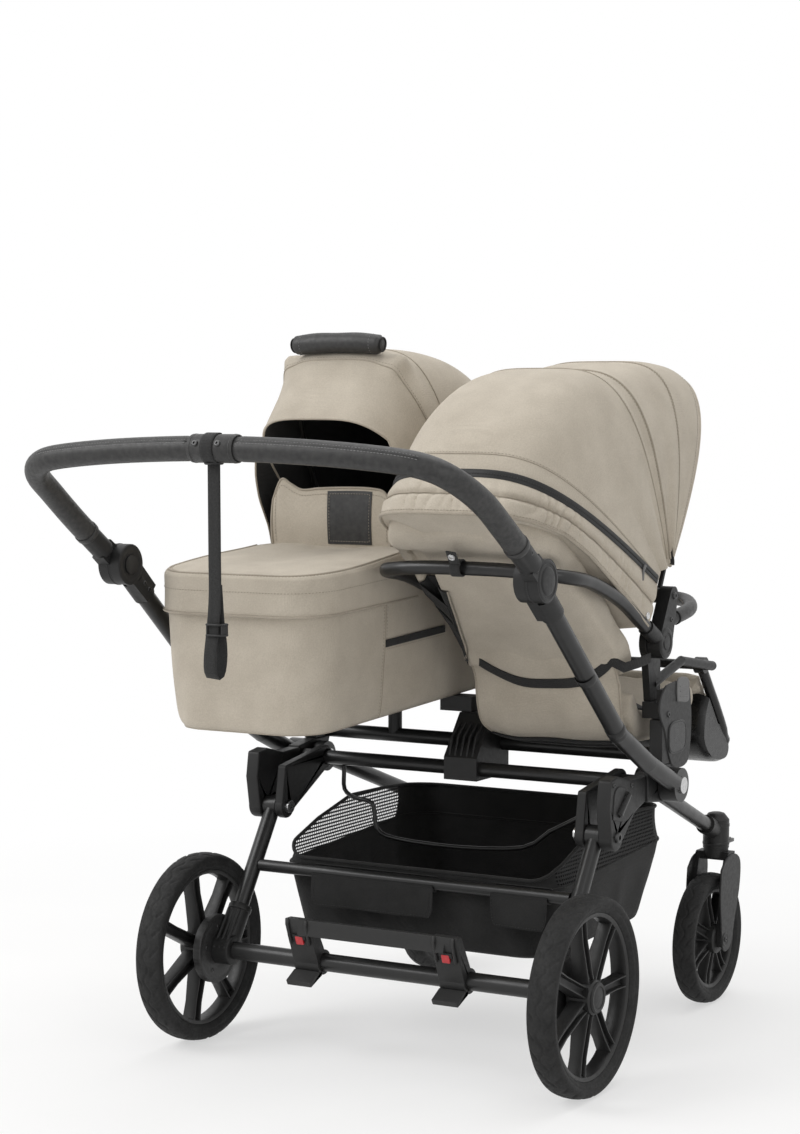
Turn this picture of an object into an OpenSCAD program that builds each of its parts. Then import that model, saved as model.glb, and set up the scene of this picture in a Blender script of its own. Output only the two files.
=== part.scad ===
// Side-by-side twin pram on a folding chassis: a carrycot on the left, a reclined seat unit on the right.
// Millimetres, +X to the pusher's right, +Y the way it rolls, +Z up. Lengths along Y are measured from
// the rear axle, and the finished part is moved so that its box stands centred on the ground.

/* [Wheels] */
// Outer diameter of the rear tyres
rear_wheel_d = 312; // [290:1:320]
// Width of the rear tyres
rear_tyre_w = 47; // [42:1:50]
// Outer diameter of the front tyres
front_wheel_d = 230; // [210:1:240]
// Width of the front tyres
front_tyre_w = 40; // [34:1:44]
// Distance between the middle planes of the rear wheels
rear_track = 708; // [700:1:716]
// Distance between the middle planes of the front wheels
front_track = 548; // [530:1:560]
// Distance from the rear axle to the front axles
wheelbase = 660; // [640:1:690]
// How far a front axle trails behind its swivel axis
caster_trail = 32; // [24:1:40]
// Height of the tyre section above the rim
tyre_h = 27; // [22:1:30]
// Number of double spokes in a wheel
spoke_pairs = 7; // [5:1:9]
// Thickness of a spoke blade
spoke_t = 4; // [3:0.5:6]
// Gap between the two blades of a double spoke
spoke_gap = 13; // [10:1:16]
// Diameter of the rear stub axles
stub_d = 12; // [10:1:14]
// Diameter of the front axle pins
front_pin_d = 10; // [8:1:12]

/* [Chassis] */
// Distance from the centre line to the outer faces of the hinge blocks and side mounts
side_x = 341; // [337:1:343]
// Gap between those faces and the handle frame, which folds past them
fold_gap = 1.5; // [1:0.25:3]
// Width of a hinge block
block_w = 23; // [20:1:24]
// Main hinge ahead of the rear axle
hinge_y = 315; // [305:1:325]
// Main hinge above the ground
hinge_z = 440; // [430:1:450]
// Radius of the main hinge boss
hinge_r = 30; // [28:1:32]
// Diameter of the main hinge pin
hinge_pin_d = 16; // [12:1:18]
// Rear leg pivot ahead of the rear axle
leg_pivot_y = 145; // [138:1:152]
// Rear leg pivot above the ground
leg_pivot_z = 377; // [370:1:384]
// Diameter of the rear leg tubes
leg_d = 26; // [22:1:28]
// Diameter of the rear leg pivot bolts
leg_bolt_d = 12; // [10:1:14]
// Diameter of the rear axle tube
axle_d = 29; // [26:1:32]
// Diameter of the brake drums
drum_d = 114; // [100:1:120]
// Thickness of the brake drums
drum_w = 13; // [10:1:15]
// Length of a rear hub barrel
barrel_w = 30; // [26:1:34]
// Diameter of the cross tubes
cross_d = 24; // [20:1:26]
// Diameter of the handle tubes
tube_d = 30; // [26:1:32]
// Diameter of the front legs
front_leg_d = 26; // [22:1:28]
// Diameter of a caster housing
caster_d = 46; // [42:1:52]
// Height of a caster housing
caster_h = 60; // [54:1:66]
// Diameter of a fork stem
stem_d = 16; // [14:1:18]
// Height of the side mounts' top faces above the ground
side_mount_z = 545; // [540:1:548]
// Height of the centre mount's top face above the ground
centre_mount_z = 535; // [528:1:538]
// Width of the centre mount
centre_mount_w = 62; // [58:1:66]
// Diameter of the basket's rear tube
basket_bar_d = 20; // [16:1:22]
// Basket's rear tube above the ground
basket_bar_z = 285; // [275:1:295]

/* [Handle] */
// Handle joint behind the rear axle
joint_y = 193; // [186:1:200]
// Handle joint above the ground
joint_z = 801; // [795:1:807]
// Radius of the handle joints
joint_r = 32; // [30:1:35]
// Middle of the handle bar behind the rear axle
bar_y = 460; // [450:1:470]
// Middle of the handle bar above the ground
bar_z = 989; // [980:1:1000]
// Diameter of the bare handle bar
bar_d = 29; // [26:1:31]
// Diameter over the leatherette sleeve
grip_d = 36; // [34:1:38]
// Width of the centre clamp sleeve
clamp_w = 76; // [60:1:84]
// Diameter of a push button
button_d = 30; // [24:1:34]

/* [Carrycot] */
// Half width over the apron
cot_half = 158; // [154:0.5:162]
// Foot end of the tub behind the rear axle
cot_foot = 159; // [154:1:166]
// Head end of the tub ahead of the rear axle
cot_head = 575; // [560:1:590]
// How far the tub's underside at the foot end lies below the side mounts' top faces
cot_drop = 5; // [0:1:8]
// Height of the tub at the foot end
cot_h = 218; // [210:1:226]
// Wall of the tub
cot_wall = 6; // [4:0.5:8]
// How far the apron hangs over the tub on each side
apron_over = 4; // [3:0.5:6]
// Height of the apron's skirt
apron_h = 62; // [54:1:70]
// Thickness of the mattress
mattress_h = 40; // [30:1:50]
// Height of the hood's crown above its pivot
cot_hood_r = 378; // [368:1:388]
// Thickness of the hood fabric
fabric_t = 3; // [2:0.5:4]

/* [Seat] */
// Half width between the middles of the back tube's arms
loop_half = 162; // [158:1:165]
// Diameter of the back tube
loop_d = 22; // [20:1:24]
// Recline hinge ahead of the rear axle
recline_y = 325; // [320:1:330]
// Recline hinge above the ground
recline_z = 668; // [662:1:674]
// Diameter of the recline pins
recline_pin_d = 16; // [12:1:18]
// Width of a seat side plate
plate_w = 12; // [10:1:14]
// Reach of the hood's front bow from its pivot
seat_hood_r = 412; // [402:1:422]
// Diameter of the bumper bar
bumper_d = 24; // [20:1:26]
// Diameter of the footrest tube
footrest_d = 18; // [16:1:20]
// Length of the footrest from its pivot
footrest_l = 196; // [186:1:206]
// Thickness of the calf pad
calf_t = 22; // [18:1:28]

/* [Basket and brake] */
// Half width of the basket at its rim
basket_half = 255; // [235:1:262]
// Length of the basket
basket_l = 440; // [420:1:445]
// Depth of the basket
basket_h = 118; // [100:1:122]
// Height of the basket's mesh sides over its tub
basket_rise = 72; // [60:1:76]
// Wall of the basket
basket_wall = 4; // [3:0.5:6]
// Distance from the centre line to the brake brackets
brake_x = 134; // [120:1:150]
// Width of a brake bracket
bracket_w = 46; // [40:1:52]

/* [Fits] */
// Radial clearance of a running fit
run_fit = 0.05; // [0.03:0.01:0.08]
// Gap between faces that pass each other
gap = 0.3; // [0.2:0.05:0.5]
// Gap around a soft piece
soft_gap = 0.5; // [0.4:0.1:0.8]

/* [Hidden] */
$fn = 48;

rear_r = rear_wheel_d / 2;
front_r = front_wheel_d / 2;
swivel_y = wheelbase + caster_trail;
caster_x = front_track / 2;
clamp_r = grip_d / 2 + 2.2;
mid_y = (wheelbase + front_r - bar_y - clamp_r) / 2;

axle = [0, rear_r];
hinge = [hinge_y, hinge_z];
leg_pivot = [leg_pivot_y, leg_pivot_z];
joint = [-joint_y, joint_z];
bar = [-bar_y, bar_z];
recline = [recline_y, recline_z];

wheel_in = rear_track / 2 - rear_tyre_w / 2;
drum_x = wheel_in - 1 - drum_w;
barrel_x = drum_x - gap - barrel_w;
leg_x = barrel_x + barrel_w / 2;
block_x = side_x - block_w;
boss_w = 20;
leg_boss_x = block_x - gap - boss_w;
housing_x = leg_x + leg_d / 2 + gap;
housing_out = side_x - 3;
cheek_w = 16;
cheek_x = leg_x - leg_d / 2 - gap - cheek_w;

// Cross tubes pass behind and above the front leg bosses
boss_r = 26;
bolt_head_r = hinge_pin_d / 2 + 5.5;
low_cross = hinge + [-boss_r - cross_d / 2 - 7, 6];
high_cross = hinge + [30, boss_r + cross_d / 2 + 4];
block_back = low_cross[0] - cross_d / 2 - 6;

// Handle frame: an eye on the hinge pin, two bends and a straight run to the joint, all outside the blocks
handle_in = side_x + fold_gap;
tube_x = handle_in + tube_d / 2 + 4.5;
tube_eye_w = 29.5;
tube_eye_r = 28;
low_bend = hinge + [-113, 49];
tube_bend = hinge + [-223, 108];
tube_dir = (tube_bend - joint) / norm(tube_bend - joint);
knuckle_x = handle_in + 2.5;
end_x = tube_x + gap;
end_w = 21.7;
arm_dir = [-0.819, 0.574];
sleeve_l = 46;
sleeve_out = 88;
joint_pin_r = 8;
mount_foot = hinge_r + 1;
bend_swell = 0.3;

// Leg line from the pivot to the axle
leg_run = axle - leg_pivot;
leg_len = norm(leg_run);
leg_dir = leg_run / leg_len;
bar_on_leg = leg_pivot + leg_run * (leg_pivot_z - basket_bar_z) / (leg_pivot_z - rear_r);

caster_z = 272;
leg_tip = [caster_x, swivel_y - caster_d / 2 - 1, caster_z + caster_h * 0.62];
leg_root = [block_x - 2 * gap - front_leg_d / 2, hinge_y, hinge_z];

cot_x = -side_x + 3 + cot_half;
cot_bottom_z = side_mount_z - cot_drop;
cot_rise = 0.047;
apron_rise = 0.09;
tub_half = cot_half - apron_over;
tub_draw = 17;
function cot_floor(y) = cot_bottom_z + cot_rise * (y + cot_foot - tub_draw);
tub_corner = 70;
cot_pivot = [350, cot_bottom_z + cot_h + 46];
cot_hood_half = tub_half - 5;
cot_pivot_x = tub_half - cot_wall - 14;
hood_steps = 16;
hood_cuts = 2;
bow_r = 4.5;
pivot_pin_r = 5;
eye_w = 13;
tongue_y = [hinge_y + 4, hinge_y + 26];
tongue_w = 12;
tongue_x = side_x - block_w / 2;
inner_tongue_w = 8;
inner_tongue_x = centre_mount_w / 4;
tongue_l = 38;
shoulder = 9;
release_r = 7;
release_travel = 3;

seat_x = side_x - loop_d / 2 - 4 - loop_half;
arm_right = seat_x + loop_half;
arm_left = seat_x - loop_half;
plate_right = arm_right - loop_d / 2 - soft_gap - plate_w;
plate_left = arm_left + loop_d / 2 + soft_gap;
hood_pivot = recline + [30, 74];
hood_half = loop_half + 8;
hood_eye_half = loop_half - loop_d / 2 - gap - eye_w / 2;
rail_r = 8;
front_rail = recline + [255, -62];
rail_left = plate_left + plate_w / 2;
rail_right = plate_right + plate_w / 2;
rest_dir = [0.64, -0.768];
bumper_x = rail_right - 8;
bumper_pin = [bumper_x, recline_y + 80];
bumper_z = recline_z + 14;

basket_y = bar_on_leg[0] + basket_bar_d / 2 + soft_gap;
basket_z = basket_bar_z - basket_h + 5;
rim_lean = 0.98;

function unit(v) = v / norm(v);
function at_x(x, p) = [x, p[0], p[1]];

// Points through a list of controls, each span cut into steps by a Catmull-Rom curve
function smooth(p, steps) = [
    for (i = [0 : len(p) - 2], k = [0 : steps - 1])
        let (
            a = p[max(i - 1, 0)],
            b = p[i],
            c = p[i + 1],
            d = p[min(i + 2, len(p) - 1)],
            t = k / steps
        )
        b + (c - a) * t / 2
            + (a * 2 - b * 5 + c * 4 - d) * pow(t, 2) / 2
            + (b * 3 - a - c * 3 + d) * pow(t, 3) / 2,
    p[len(p) - 1]
];

function circle_points(r, n) = [for (i = [0 : n - 1]) r * [cos(360 * i / n), sin(360 * i / n)]];
function flat_points(w, t) = [
    for (s = [[1, -0.5], [1, 0.5], [0.5, 1], [-0.5, 1], [-1, 0.5], [-1, -0.5], [-0.5, -1], [0.5, -1]])
        [s[0] * w / 2, s[1] * t / 2]
];

function ring(p, t, up, section) =
    let (n = unit(cross(up, t)), b = cross(t, n))
    [for (s = section) p + n * s[0] + b * s[1]];

function rings_along(path, up, section) = [
    for (i = [0 : len(path) - 1])
        ring(path[i], unit(path[min(i + 1, len(path) - 1)] - path[max(i - 1, 0)]), up, section)
];

function backwards(v) = [for (i = [len(v) - 1 : -1 : 0]) v[i]];
function mirrored(path, x) = concat(
    path,
    [for (i = [len(path) - 2 : -1 : 0]) [2 * x - path[i][0], path[i][1], path[i][2]]]
);

// Rounded rectangle at height z, with one radius at the foot and one at the head, leaning up by rise per mm
function plan_ring(x, half, y0, y1, r0, r1, z, rise, steps = 6) = [
    for (c = [[half - r0, y0 + r0, r0, -90], [half - r1, y1 - r1, r1, 0],
              [-half + r1, y1 - r1, r1, 90], [-half + r0, y0 + r0, r0, 180]],
         i = [0 : steps])
        let (a = c[3] + 90 * i / steps, y = c[1] + c[2] * sin(a))
        [x + c[0] + c[2] * cos(a), y, z + rise * (y - y0)]
];

// Arch of a hood: half width w, reach r, from one pivot side over the crown to the other
function arch(w, r, steps, t0 = 2) = [
    for (i = [0 : steps])
        let (t = t0 + (180 - 2 * t0) * i / steps)
        [w * sign(cos(t)) * pow(abs(cos(t)), 0.5), r * pow(sin(t), 0.6)]
];
function hood_point(x, pivot, angle, p) =
    [x + p[0], pivot[0] + p[1] * cos(angle), pivot[1] + p[1] * sin(angle)];
function hood_ring(x, pivot, angle, w, r, t, steps) = concat(
    [for (p = arch(w, r, steps)) hood_point(x, pivot, angle, p)],
    [for (p = backwards(arch(w - t, r - t, steps))) hood_point(x, pivot, angle, p)]
);
function bow_path(x, pivot, angle, w, r, steps) = concat(
    [hood_point(x, pivot, angle, [w, 2 * pivot_pin_r])],
    [for (p = arch(w, r, steps, 4)) hood_point(x, pivot, angle, p)],
    [hood_point(x, pivot, angle, [-w, 2 * pivot_pin_r])]
);

// Cushion section at x: the side profile drawn in towards its middle by a share
function drawn(profile, x, share) =
    let (m = [for (k = [0, 1]) [for (p = profile) p[k]] * [for (p = profile) 1] / len(profile)])
    [for (p = profile) at_x(x, m + (p - m) * share)];
function cushion_rings(profile, x0, x1, ends, channels, depth, steps = 12) = [
    for (i = [0 : steps])
        let (
            u = i / steps,
            crown = 1 - ends * pow(abs(2 * u - 1), 5),
            groove = depth * pow(abs(cos(180 * channels * u)), 16)
        )
        drawn(profile, x0 + (x1 - x0) * u, crown - (i == 0 || i == steps ? 0 : groove))
];

module placed(c) translate([0, -mid_y, 0]) color(c) children();
module both() {
    children();
    mirror([1, 0, 0]) children();
}
module side(s) mirror([s < 0 ? 1 : 0, 0, 0]) children();
module rod(a, b, r) {
    d = b - a;
    translate(a) rotate([0, acos(d[2] / norm(d)), atan2(d[1], d[0])]) cylinder(h = norm(d), r = r);
}
module run(points, r) {
    for (i = [0 : len(points) - 2]) rod(points[i], points[i + 1], r);
    for (i = [1 : len(points) - 2]) translate(points[i]) sphere(r + bend_swell);
}
module x_disc(x0, x1, p, r) translate([x0, p[0], p[1]]) rotate([0, 90, 0]) cylinder(h = x1 - x0, r = r);
module slab(x0, x1) translate([x0, 0, 0]) rotate([90, 0, 90]) linear_extrude(x1 - x0) children();
module block(low, high) translate(low) cube(high - low);

// Closed surface through rings of equal count, capped at the first and the last; bent rings run out along one
// side and back along the other, and strips between the two close their ends
module skin(rs, bent = false) {
    n = len(rs[0]);
    m = len(rs);
    sides = [
        for (i = [0 : m - 2], j = [0 : n - 1])
            let (a = i * n + j, b = i * n + (j + 1) % n)
            each [[a, a + n, b + n], [a, b + n, b]]
    ];
    first = bent
        ? [for (j = [0 : n / 2 - 2]) each [[j, j + 1, n - 2 - j], [j, n - 2 - j, n - 1 - j]]]
        : [[for (j = [0 : n - 1]) j]];
    last = [for (f = first) [for (j = [len(f) - 1 : -1 : 0]) (m - 1) * n + f[j]]];
    polyhedron(points = [for (r = rs) each r], faces = concat(first, sides, last));
}

// Closed surface through rings that come back to the first one, as on a sleeve
module loop_skin(rs) {
    n = len(rs[0]);
    m = len(rs);
    faces = [
        for (i = [0 : m - 1], j = [0 : n - 1])
            let (a = i * n + j, b = i * n + (j + 1) % n, c = ((i + 1) % m) * n)
            each [[a, c + j, c + (j + 1) % n], [a, c + (j + 1) % n, b]]
    ];
    polyhedron(points = [for (r = rs) each r], faces = faces);
}
module sweep(path, up, section) skin(rings_along(path, up, section));

// Rear axle, legs and brake

module rear_axle() placed("dimgray") {
    x_disc(-drum_x, drum_x, axle, axle_d / 2);
    x_disc(-rear_track / 2 - 18, rear_track / 2 + 18, axle, stub_d / 2);
}

module rear_legs() placed("dimgray") both() difference() {
    union() {
        rod(at_x(leg_x, leg_pivot), at_x(leg_x, axle - leg_dir * (axle_d / 2 + 10)), leg_d / 2);
        x_disc(leg_x - leg_d / 2 + 1, leg_x + leg_d / 2 - 1, leg_pivot, leg_bolt_d / 2 + 11);
    }
    x_disc(leg_x - leg_d, leg_x + leg_d, leg_pivot, leg_bolt_d / 2 + run_fit);
}

module hub_brackets() placed("dimgray") both() difference() {
    union() {
        x_disc(barrel_x, barrel_x + barrel_w, axle, axle_d / 2 + 10);
        rod(at_x(leg_x, axle), at_x(leg_x, axle - leg_dir * 78), leg_d / 2 + 5);
    }
    rod(at_x(leg_x, axle - leg_dir * (axle_d / 2 + 10)), at_x(leg_x, axle - leg_dir * 120),
        leg_d / 2 + run_fit);
    x_disc(barrel_x - 40, barrel_x + 80, axle, axle_d / 2 + run_fit);
    block([drum_x - gap, -rear_r, 0], [drum_x + drum_w, rear_r, 2 * rear_r]);
}

module brake_drums() placed("dimgray") both() difference() {
    x_disc(drum_x, drum_x + drum_w, axle, drum_d / 2);
    x_disc(drum_x - 1, drum_x + drum_w + 1, axle, stub_d / 2 + gap);
}

module basket_bar() placed("dimgray")
    x_disc(-leg_x + leg_d / 2, leg_x - leg_d / 2, bar_on_leg, basket_bar_d / 2);

brake_top = rear_r + 76;
module brake_bar() placed("gray") difference() {
    union() {
        both() slab(brake_x - bracket_w / 2, brake_x + bracket_w / 2) {
            translate(axle) circle(axle_d / 2 + 6);
            translate(axle) polygon([[-18, -12], [-44, -26], [-40, -34], [-6, -20]]);
            translate(axle) polygon([[-20, 0], [-46, 66], [-46, 76], [-30, 76], [2, 18]]);
        }
        block([-brake_x, -46, brake_top - 26], [brake_x, -36, brake_top]);
    }
    x_disc(-2 * brake_x, 2 * brake_x, axle, axle_d / 2 + run_fit);
}

module brake_windows() placed("red") both()
    slab(brake_x - 7, brake_x + 7)
        translate(axle) polygon([[-34.2, 35], [-38.9, 47], [-42.5, 47], [-37.2, 33]]);

// Wheels

module tyre(x, r, w) translate([x, 0, 0]) rotate([0, 90, 0]) rotate_extrude($fn = 96)
    polygon([
        [r - tyre_h, -w * 0.32], [r - tyre_h * 0.6, -w * 0.46], [r - tyre_h * 0.35, -w / 2],
        [r - tyre_h * 0.15, -w * 0.44], [r - 1.5, -w * 0.3], [r, -w * 0.12],
        [r, w * 0.12], [r - 1.5, w * 0.3], [r - tyre_h * 0.15, w * 0.44],
        [r - tyre_h * 0.35, w / 2], [r - tyre_h * 0.6, w * 0.46],
        [r - tyre_h, w * 0.32]
    ]);

module rim(x, r, w, hub_r, hub_w, bore_r, cap) translate([x, 0, 0]) rotate([0, 90, 0]) difference() {
    rim_r = r - tyre_h - gap;
    union() {
        difference() {
            cylinder(h = w * 0.62, r = rim_r, center = true, $fn = 96);
            cylinder(h = w, r = rim_r - 7, center = true, $fn = 96);
        }
        cylinder(h = hub_w, r = hub_r, center = true);
        for (i = [0 : spoke_pairs - 1], s = [-1, 1]) rotate(360 * i / spoke_pairs)
            translate([hub_r - 6, s * (spoke_gap + spoke_t) / 2 - spoke_t / 2, -w * 0.26])
                cube([rim_r - 4 - hub_r + 6, spoke_t, w * 0.52]);
        translate([0, 0, hub_w / 2 - 1]) cylinder(h = cap + 1, r = hub_r - 3);
    }
    translate([0, 0, -hub_w]) cylinder(h = 2 * hub_w - hub_w / 2 - 1.5, r = bore_r);
}

module at_rear(s) side(s) translate([0, 0, rear_r]) children();
module rear_tyre(s) at_rear(s) tyre(rear_track / 2, rear_r, rear_tyre_w);
module rear_rim(s) at_rear(s)
    rim(rear_track / 2, rear_r, rear_tyre_w, 27, rear_tyre_w - 5, stub_d / 2 + run_fit, 4);
module rear_tyre_left() placed("black") rear_tyre(-1);
module rear_tyre_right() placed("black") rear_tyre(1);
module rear_rim_left() placed("dimgray") rear_rim(-1);
module rear_rim_right() placed("dimgray") rear_rim(1);

fork_in = front_tyre_w / 2 + 3;
fork_t = 8;
module at_front(s) side(s) translate([0, wheelbase, front_r]) children();
module front_tyre(s) at_front(s) tyre(caster_x, front_r, front_tyre_w);
module front_rim(s) at_front(s) difference() {
    rim(caster_x, front_r, front_tyre_w, 26, 2 * fork_in - 2 * gap, front_pin_d / 2 + run_fit, 0);
    x_disc(caster_x - fork_in - 1, caster_x + fork_in + 1, [0, 0], front_pin_d / 2 + run_fit);
}
module front_tyre_left() placed("black") front_tyre(-1);
module front_tyre_right() placed("black") front_tyre(1);
module front_rim_left() placed("dimgray") front_rim(-1);
module front_rim_right() placed("dimgray") front_rim(1);

// Front legs, casters and forks

module front_legs() placed("dimgray") both() difference() {
    union() {
        rod(leg_root, leg_tip, front_leg_d / 2);
        x_disc(leg_boss_x, leg_boss_x + boss_w, hinge, boss_r);
    }
    x_disc(leg_boss_x - 1, block_x, hinge, hinge_pin_d / 2 + run_fit);
    x_disc(leg_boss_x - 2 * boss_w, leg_boss_x, hinge, bolt_head_r + gap);
}

module caster_housings() placed("dimgray") both() difference() {
    union() {
        translate([caster_x, swivel_y, caster_z]) cylinder(h = caster_h - 10, r = caster_d / 2);
        translate([caster_x, swivel_y, caster_z + caster_h - 10])
            cylinder(h = 10, r1 = caster_d / 2, r2 = 15);
        rod(leg_tip + unit(leg_tip - leg_root) * 6, leg_tip + unit(leg_root - leg_tip) * 34,
            front_leg_d / 2 + 4);
        rod([caster_x, swivel_y, leg_tip[2]], leg_tip, front_leg_d / 2 + 2.5);
        block([caster_x - 6, swivel_y, caster_z + 2], [caster_x + 6, lock_pin[0] + 4, caster_z + 14]);
        x_disc(caster_x - 12, caster_x + 12, lock_pin, 2.5);
    }
    rod(leg_root, leg_tip, front_leg_d / 2 + run_fit);
    translate([caster_x, swivel_y, caster_z - 1]) cylinder(h = caster_h - 12, r = stem_d / 2 + run_fit);
}

module fork(s) side(s) {
    translate([caster_x, swivel_y, caster_z - 16]) cylinder(h = 16 - gap, r = caster_d / 2 - 1);
    translate([caster_x, swivel_y, caster_z - 16]) cylinder(h = caster_h - 6, r = stem_d / 2);
    x_disc(caster_x - fork_in - fork_t, caster_x + fork_in + fork_t, [wheelbase, front_r], front_pin_d / 2);
    block([caster_x - fork_in - fork_t, swivel_y - 16, caster_z - 20],
          [caster_x + fork_in + fork_t, swivel_y + 12, caster_z - 6]);
    for (x = [caster_x - fork_in - fork_t, caster_x + fork_in]) slab(x, x + fork_t) {
        translate([wheelbase, front_r]) circle(15);
        polygon([
            [wheelbase - 14, front_r + 4], [wheelbase - 8, front_r + 70], [swivel_y - 18, caster_z - 8],
            [swivel_y + 12, caster_z - 8], [swivel_y + 4, caster_z - 40], [wheelbase + 14, front_r - 4]
        ]);
    }
}
module fork_left() placed("dimgray") fork(-1);
module fork_right() placed("dimgray") fork(1);

lock_pin = [swivel_y + caster_d / 2 + 6, caster_z + 8];
module swivel_lock(s) side(s) difference() {
    union() {
        for (d = [-12, 6 + gap]) x_disc(caster_x + d, caster_x + d + 6 - gap, lock_pin, 5);
        for (d = [-12, 6 + gap])
            block(at_x(caster_x + d, lock_pin + [0, -5]), at_x(caster_x + d + 6 - gap, lock_pin + [12, 5]));
        block(at_x(caster_x - 12, lock_pin + [5, -5]), at_x(caster_x + 12, lock_pin + [26, 1]));
    }
    x_disc(caster_x - 13, caster_x + 13, lock_pin, 2.5 + run_fit);
}
module swivel_lock_left() placed("gray") swivel_lock(-1);
module swivel_lock_right() placed("gray") swivel_lock(1);

// Chassis

module hinge_blocks() placed("dimgray") both() difference() {
    slab(block_x, side_x) {
        translate(hinge) circle(hinge_r);
        polygon([
            [block_back, hinge_z - 22], hinge + [0, -hinge_r], hinge + [hinge_r, 0], hinge + [40, mount_foot],
            hinge + [-10, mount_foot], [block_back, low_cross[1] + cross_d / 2 + 6]
        ]);
    }
    x_disc(block_x - 1, side_x + 1, hinge, hinge_pin_d / 2 + run_fit);
}

module handle_tubes() placed("dimgray") both() difference() {
    union() {
        run([at_x(tube_x, joint + tube_dir * (joint_r + 3)), at_x(tube_x, tube_bend), at_x(tube_x, low_bend),
             at_x(tube_x, hinge)], tube_d / 2);
        x_disc(handle_in, handle_in + tube_eye_w, hinge, tube_eye_r);
    }
    x_disc(handle_in - 5, handle_in + tube_eye_w + 20, hinge, hinge_pin_d / 2 + run_fit);
    x_disc(handle_in + tube_eye_w, handle_in + tube_eye_w + 20, hinge, bolt_head_r + gap);
}

module cross_tubes() placed("dimgray")
    for (p = [low_cross, high_cross]) x_disc(-block_x, block_x, p, cross_d / 2);

module side_mounts() placed("dimgray") both() difference() {
    block([block_x, hinge_y - 10, hinge_z + mount_foot], [side_x, hinge_y + 40, side_mount_z]);
    block([tongue_x - tongue_w / 2 - gap, tongue_y[0] - gap, side_mount_z - tongue_l - 4],
          [tongue_x + tongue_w / 2 + gap, tongue_y[1] + gap, side_mount_z + 1]);
}

module centre_mount() placed("dimgray") difference() {
    slab(-centre_mount_w / 2, centre_mount_w / 2) polygon([
        low_cross + [-20, -18], high_cross + [20, -54], high_cross + [20, 0],
        [tongue_y[1] + 14, centre_mount_z], [tongue_y[0] - 14, centre_mount_z], low_cross + [-20, 20]
    ]);
    for (p = [low_cross, high_cross]) x_disc(-side_x, side_x, p, cross_d / 2 + run_fit);
    for (s = [-1, 1])
        translate([s * inner_tongue_x, 0, 0])
            block([-inner_tongue_w / 2 - gap, tongue_y[0] - gap, centre_mount_z - tongue_l - 4],
                  [inner_tongue_w / 2 + gap, tongue_y[1] + gap, centre_mount_z + 1]);
}

module suspension_housings() placed("dimgray") both() difference() {
    union() {
        slab(housing_x, housing_out) {
            translate(leg_pivot) circle(22);
            polygon([
                leg_pivot + [-20, -9], leg_pivot + [-30, 50], leg_pivot + [-23, 92], leg_pivot + [4, 96],
                leg_pivot + [52, 84], [block_back - gap, low_cross[1] + cross_d / 2 + 4],
                [block_back - gap, hinge_z - 20], leg_pivot + [66, 30], leg_pivot + [20, -9]
            ]);
        }
        slab(cheek_x, cheek_x + cheek_w) {
            translate(leg_pivot) circle(20);
            translate(low_cross) circle(cross_d / 2 + 8);
            polygon([
                leg_pivot + [-18, 8], leg_pivot + [-8, 70], low_cross + [0, cross_d / 2 + 8],
                low_cross + [0, -cross_d / 2 - 8], leg_pivot + [18, -8]
            ]);
        }
    }
    x_disc(0, block_x, low_cross, cross_d / 2 + run_fit);
    x_disc(0, side_x, leg_pivot, leg_bolt_d / 2 + run_fit);
}

module pivot_bolts() placed("silver") both() {
    x_disc(cheek_x - 1, housing_out + 1, leg_pivot, leg_bolt_d / 2);
    x_disc(cheek_x - 6, cheek_x, leg_pivot, leg_bolt_d / 2 + 5);
    x_disc(leg_boss_x - gap - 1, handle_in + tube_eye_w + gap + 1, hinge, hinge_pin_d / 2);
    x_disc(leg_boss_x - gap - 5, leg_boss_x - gap, hinge, bolt_head_r);
    x_disc(handle_in + tube_eye_w + gap, handle_in + tube_eye_w + gap + 4, hinge, bolt_head_r);
}

post_y = high_cross[0];
post_r = 12;
module cot_post() placed("dimgray") difference() {
    translate([cot_x, post_y, high_cross[1]])
        cylinder(h = cot_floor(post_y - post_r) - soft_gap - high_cross[1], r = post_r);
    x_disc(2 * cot_x, 0, high_cross, cross_d / 2 + run_fit);
}

// Basket

// A plan ring with two more points on each long side
function long_sides(r) = let (n = len(r) / 4) concat(
    [for (i = [0 : n - 1]) r[i]],
    [for (t = [0.25, 0.5]) r[n - 1] + (r[n] - r[n - 1]) * t],
    [for (i = [n : 3 * n - 1]) r[i]],
    [for (t = [0.5, 0.75]) r[3 * n - 1] + (r[3 * n] - r[3 * n - 1]) * t],
    [for (i = [3 * n : 4 * n - 1]) r[i]]
);

// The rim of the basket: low at the rear, highest over its middle
function raised(r) = [
    for (p = r)
        let (share = lookup(p[1] - basket_y, [[5, 0.06], [25, 0.4], [108, 0.72], [214, 1], [425, 0.78]]))
        [p[0] * rim_lean, p[1], p[2] + basket_rise * share]
];

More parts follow.
